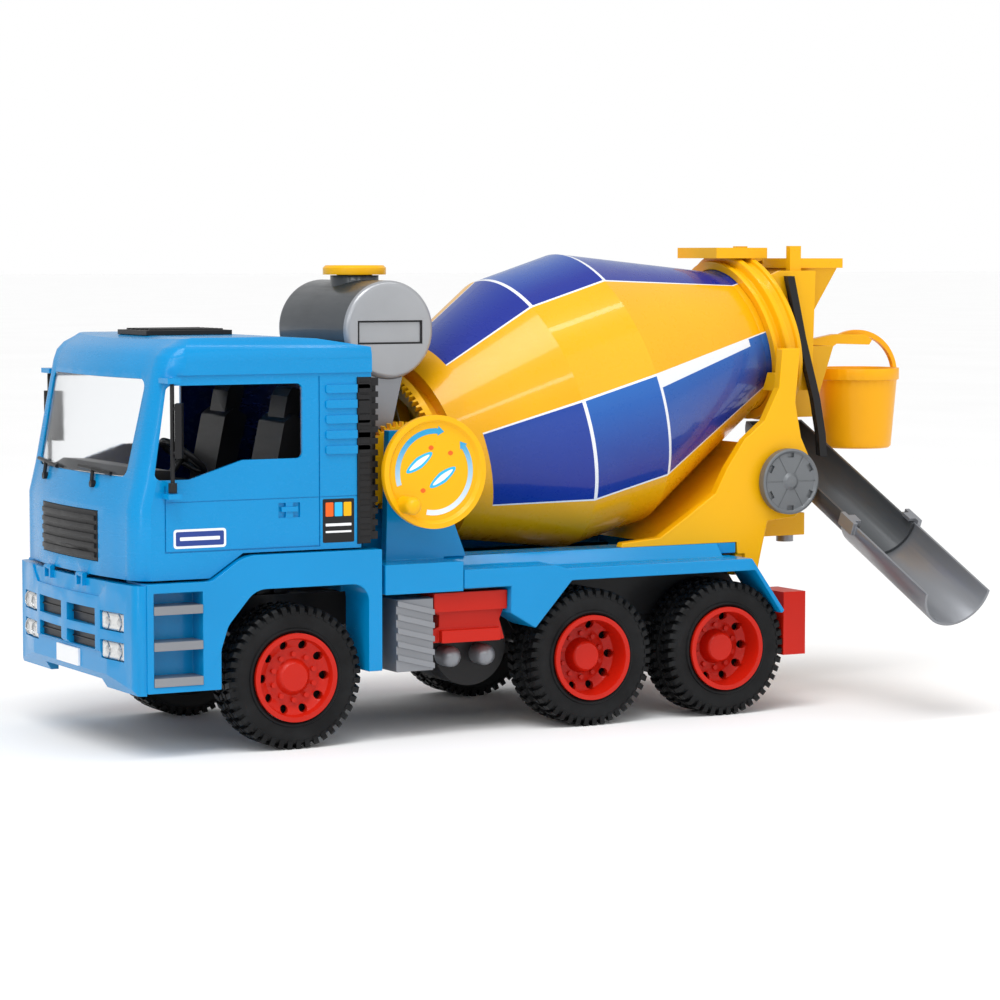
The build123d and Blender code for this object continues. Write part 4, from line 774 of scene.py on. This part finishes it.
def make_bumper_inserts():
    """Black plates with a fin in the four air slots of the bumper."""
    parts = []
    for side in (-1, 1):
        for z_low, z_high in ((64.6, 73.4), (52.6, 59.9)):
            y_low, y_high = sorted((side * 4.15, side * 39.3))
            parts.append(box_part(-265.2, -264.45, y_low, y_high, z_low, z_high))
            z = (z_low + z_high) / 2
            parts.append(box_part(-266.0, -265.0, y_low, y_high, z - 0.4, z + 0.4))
    verts, faces = merged(parts)
    piece = finish_mesh("air_slot_plates", verts, faces, BLACK, "truck", smooth=False, bevel=0.00018)


def fluted_lens(y_low, y_high, z_low, z_high, columns=48, rows=10):
    """Closed lens plate with upright flutes and a pillowed edge, following the bumper's bow."""
    set_back, thick = 0.9, 1.9
    pillow_high, pillow_wide, flute_high, flute_pitch = 0.9, 1.6, 0.10, 1.55
    verts, faces = [], []
    for layer in (0, 1):
        for i in range(columns + 1):
            y = y_low + (y_high - y_low) * i / columns
            for j in range(rows + 1):
                z = z_low + (z_high - z_low) * j / rows
                edge = min(y - y_low, y_high - y, z - z_low, z_high - z)
                pillow = pillow_high * (1 - min(edge / pillow_wide, 1.0)) ** 2
                flute = flute_high * math.cos(2 * math.pi * (y - y_low) / flute_pitch)
                x = bumper_x(y) + set_back + (thick if layer else pillow + flute)
                verts.append(P(x, y, z))
    size = (columns + 1) * (rows + 1)
    for i in range(columns):
        for j in range(rows):
            a = i * (rows + 1) + j
            b = a + rows + 1
            faces.append((a, b, b + 1, a + 1))
            faces.append((size + a, size + a + 1, size + b + 1, size + b))
    rim = [i * (rows + 1) for i in range(columns + 1)]
    rim += [columns * (rows + 1) + j for j in range(1, rows + 1)]
    rim += [i * (rows + 1) + rows for i in range(columns - 1, -1, -1)]
    rim += list(range(rows - 1, 0, -1))
    for index, a in enumerate(rim):
        b = rim[(index + 1) % len(rim)]
        faces.append((a, b, size + b, size + a))
    return verts, faces


def make_head_lamps():
    """Two lamp clusters a side: a fluted lens over two bright bowls with raised bezels."""
    ring = [(3.6, -0.7), (3.6, 0.15), (3.75, 0.32), (3.95, 0.32), (4.1, 0.15), (4.1, -0.7)]
    dome = [(0.01, 0.35), (1.2, 0.28), (2.2, 0.05), (2.9, -0.3), (2.9, -0.8), (0.01, -0.8)]
    lenses, bezels = [], []
    for side in (-1, 1):
        for z in LAMP_ZS:
            y_low, y_high = sorted((side * (LAMP_YS[0] - 5.7), side * (LAMP_YS[1] + 5.4)))
            lenses.append(fluted_lens(y_low, y_high, z - 4.4, z + 4.6))
            for y in LAMP_YS:
                out = Vector((-1.0, side * -2 * BUMPER_BOW * y / BUMPER_HALF ** 2, 0.0))
                place = facing(P(bumper_x(y) + 1.0, side * y, z + 0.1), Vector((0, 0, 1)), out)
                bezels.append(lathe(ring, 40, place))
                bezels.append(lathe(dome, 32, place))
    verts, faces = merged(lenses)
    lens = finish_mesh("head_lamp_lenses", verts, faces, LAMP, "truck", sharp=40)
    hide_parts("headlights")
    verts, faces = merged(bezels)
    bezel = finish_mesh("head_lamp_bezels", verts, faces, LAMP_BEZEL, "truck", sharp=40)


def make_rear_lenses():
    """Domed lenses in the rear beam's lamp holes."""
    profile = [(0.02, 0.0), (3.05, 0.0), (3.05, 0.6), (2.5, 1.05), (1.6, 1.3), (0.8, 1.42), (0.02, 1.45)]
    for side, side_name in SIDES:
        for index, (y, material) in enumerate(((58.0, ORANGE_PRINT), (66.0, RED_DEEP), (74.0, WHITE_PRINT))):
            place = facing(P(135.55, side * y, 49.0), Vector((0, 1, 0)), Vector((1, 0, 0)))
            verts, faces = lathe(profile, 32, place, closed=False)
            piece = finish_mesh("rear_lens_%s_%d" % (side_name, index), verts, faces, material, "truck", sharp=50)


def make_tank_plates():
    """Dark raised frame of a blank plate on each end of the tank."""
    outer, inner, low_z, high_z, bar = 18.9, 18.0, -7.4, 4.9, 0.9
    rails = ((-outer, outer, high_z - bar, high_z), (-outer, outer, low_z, low_z + bar),
             (-outer, -inner, low_z + bar, high_z - bar), (inner, outer, low_z + bar, high_z - bar))
    for side, side_name in SIDES:
        y0, y1 = sorted((side * 42.95, side * 42.1))
        verts, faces = merged([box_part(TANK_X + x0, TANK_X + x1, y0, y1, TANK_Z + z0, TANK_Z + z1)
                               for x0, x1, z0, z1 in rails])
        frame_piece = finish_mesh("tank_frame_" + side_name, verts, faces, BLACK, "truck", smooth=False,
                                  bevel=0.00015)


def make_side_vents():
    """Black louvred strips that wrap the cab's rear corners."""
    for side, side_name in SIDES:
        y0, y1 = sorted((side * 79.6, side * 80.3))
        parts = [box_part(-139.2, -131.6, y0, y1, 104.0, 189.5)]
        y0, y1 = sorted((side * 80.1, side * 81.0))
        for index in range(VENT_COUNT):
            z = 108.0 + VENT_PITCH * index
            parts.append(box_part(-138.8, -131.8, y0, y1, z, z + 3.1))
        parts.append(box_part(-139.2, -138.2, y0, y1, 104.0, 189.5))
        verts, faces = merged(parts)
        piece = finish_mesh("cab_vent_" + side_name, verts, faces, BLACK, "cab", smooth=False, bevel=0.00025)


def make_wheel_liners():
    """Black liners under the deck, behind the rear wheels, with a stiffening bead."""
    outline = [(-38, 62), (-16, 85.5), (99, 85.5), (117, 60), (110, 55), (104, 50), (-30, 50)]
    bead = [(-26, 54), (-12, 81), (94, 81), (108, 59), (104, 54)]
    bead = [(x * 0.97 + 1.2, z * 0.97 + 2.0) for x, z in bead]
    for side, side_name in SIDES:
        place = side_place(side)
        verts, faces = merged([slab(outline, 46.6, 48.0, place), slab(bead, 48.0, 48.8, place)])
        piece = finish_mesh("wheel_liner_" + side_name, verts, faces, BLACK, "truck", smooth=False, bevel=0.0003)


def make_cradle_web():
    """Sloping web between the rear arms, under the drum, with ribs on its underside."""
    web = [(60, 93.3), (64, 93.3), (66.5, 95.8), (125, 140.2), (127, 146), (125, 146.6), (123.2, 141.8),
           (63.5, 96.4)]
    rib = [(70, 97.5), (120, 135.6), (120, 130), (78, 98.5)]
    place = side_place(-1)
    parts = [slab(web, -51.5, 51.5, place)]
    parts += [slab(rib, y - 0.9, y + 0.9, place) for y in (-34.0, -12.0, 12.0, 34.0)]
    verts, faces = merged(parts)
    piece = finish_mesh("cradle_web", verts, faces, YELLOW, "truck", smooth=False, bevel=0.0004)


def rounded_rect(x0, x1, z0, z1, radius, steps=6):
    """Outline of a rectangle with rounded corners."""
    points = []
    corners = ((x1, z1, 0), (x0, z1, 90), (x0, z0, 180), (x1, z0, 270))
    for x, z, start in corners:
        cx = x - math.copysign(radius, x - (x0 + x1) / 2)
        cz = z - math.copysign(radius, z - (z0 + z1) / 2)
        for step in range(steps + 1):
            angle = math.radians(start + 90.0 * step / steps)
            points.append((cx + radius * math.cos(angle), cz + radius * math.sin(angle)))
    return points


def make_door_labels():
    """Blank framed label on each door and, behind the door, a plain dark one with colour blocks and bars."""
    block_z, row_a, row_b = (118.6, 125.8), (113.6, 115.0), (110.2, 111.2)
    labels = (                           # name, X and Z extents, corner radius, material, lift off the cab's side
        ("door_label_rim", (-241.0, -212.5, 105.6, 115.2, 1.6), WHITE_PRINT, 0.10),
        ("door_label_field", (-239.8, -213.7, 106.8, 114.0, 0.9), NAVY_PRINT, 0.14),
        ("door_label_band", (-237.6, -215.9, 109.5, 111.3, 0.4), WHITE_PRINT, 0.18),
        ("rear_label", (-158.8, -141.0, 105.2, 127.6, 0.8), BLACK, 0.10),
        ("rear_label_block_a", (-157.2, -152.8, *block_z, 0.5), ORANGE_PRINT, 0.14),
        ("rear_label_block_b", (-152.1, -147.7, *block_z, 0.5), CYAN_PRINT, 0.14),
        ("rear_label_block_c", (-147.0, -142.6, *block_z, 0.5), YELLOW, 0.14),
        ("rear_label_line_a", (-157.2, -142.6, *row_a, 0.3), WHITE_PRINT, 0.14),
        ("rear_label_line_b", (-157.2, -142.6, *row_b, 0.3), WHITE_PRINT, 0.14),
    )
    for side, side_name in SIDES:
        place = side_place(side, y=side * CAB_SIDE_Y)
        for name, extents, material, lift in labels:
            verts, faces = slab(rounded_rect(*extents), PRINT_DEPTH, lift, place)
            piece = finish_mesh("%s_%s" % (name, side_name), verts, faces, material, "cab", smooth=False)


make_door_labels()
make_side_vents()
make_cradle_web()
make_wheel_liners()
make_tank_plates()
make_bumper_inserts()
make_head_lamps()
make_rear_lenses()


# ------------------------------------------------------------------ stage

FLOOR_HALF = 40.0                        # metres, so that its edge is never seen
CENTRE = (0.0, 0.0, 0.1)                 # what the lamps point at
SUNS = (                                 # name, where it shines from, strength, softness as an angle
    ("key", (-1.0, -1.1, 2.5), 1.35, 0.6),
    ("fill", (1.2, -1.9, 1.0), 0.3, 0.9),
)
SOFT_BOXES = (                           # name, position, watts, width, height
    ("side_box", (-1.1, -1.5, 0.85), 4.5, 1.8, 0.10),
    ("top_box", (0.1, -0.5, 1.5), 4.5, 1.6, 0.10),
    ("corner_box", (-1.7, -0.75, 0.5), 3.0, 0.10, 1.5),
)
CAMERA_AT = (-864.1, -1569.2, 251.5)     # truck stations
CAMERA_LENS, CAMERA_YAW, CAMERA_PITCH = 116.45, 28.49, 4.32


def add_lamp(name, kind, position, power, **values):
    """A lamp that points at the middle of the truck."""
    data = bpy.data.lights.new(name, kind)
    data.energy = power
    for key, value in values.items():
        setattr(data, key, value)
    light = bpy.data.objects.new(name, data)
    light.location = position
    light.rotation_mode = "QUATERNION"
    light.rotation_quaternion = (Vector(CENTRE) - Vector(position)).to_track_quat("-Z", "Y")
    bpy.context.scene.collection.objects.link(light)


def make_stage():
    """White studio: pale floor, even white surround, a soft key, a fill and three long soft boxes."""
    scene = bpy.context.scene
    scene.view_settings.view_transform = "Standard"

    # The surround is plain white to the camera and dimmer as a light.
    world = bpy.data.worlds.new("studio")
    scene.world = world
    world.use_nodes = True
    background = world.node_tree.nodes["Background"]
    background.inputs["Color"].default_value = (1.0, 1.0, 1.0, 1.0)
    seen = world.node_tree.nodes.new("ShaderNodeLightPath")
    strength = math_node(world.node_tree, "MULTIPLY_ADD", seen.outputs["Is Camera Ray"], 1.0 - SURROUND)
    strength.node.inputs[2].default_value = SURROUND
    world.node_tree.links.new(strength, background.inputs["Strength"])

    corners = [(x * FLOOR_HALF, y * FLOOR_HALF, 0) for x, y in ((-1, -1), (1, -1), (1, 1), (-1, 1))]
    mesh = bpy.data.meshes.new("floor")
    mesh.from_pydata(corners, [], [(0, 1, 2, 3)])
    material, tree, shader = new_material("pale_floor")
    tree.links.new(grey_ramp(tree, noise(tree, 3.0, 2.0), (0.3, 0.93), (0.7, 0.95)), shader.inputs["Base Color"])
    shader.inputs["Roughness"].default_value = 0.8
    shader.inputs["Specular IOR Level"].default_value = 0.1
    mesh.materials.append(material)
    floor = bpy.data.objects.new("floor", mesh)
    scene.collection.objects.link(floor)
    floor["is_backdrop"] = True

    for name, position, power, angle in SUNS:
        add_lamp(name, "SUN", position, power, angle=angle)
    for name, position, power, width, height in SOFT_BOXES:
        add_lamp(name, "AREA", position, power, shape="RECTANGLE", size=width, size_y=height)

    data = bpy.data.cameras.new("camera")
    data.sensor_width, data.lens = 36.0, CAMERA_LENS
    data.clip_start, data.clip_end = 0.05, 80.0
    camera = bpy.data.objects.new("camera", data)
    camera.location = P(*CAMERA_AT)
    yaw, pitch = math.radians(CAMERA_YAW), math.radians(CAMERA_PITCH)
    forward = Vector((math.sin(yaw) * math.cos(pitch), math.cos(yaw) * math.cos(pitch), -math.sin(pitch)))
    camera.rotation_mode = "QUATERNION"
    camera.rotation_quaternion = forward.to_track_quat("-Z", "Y")
    scene.collection.objects.link(camera)
    scene.camera = camera


make_stage()

low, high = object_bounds()
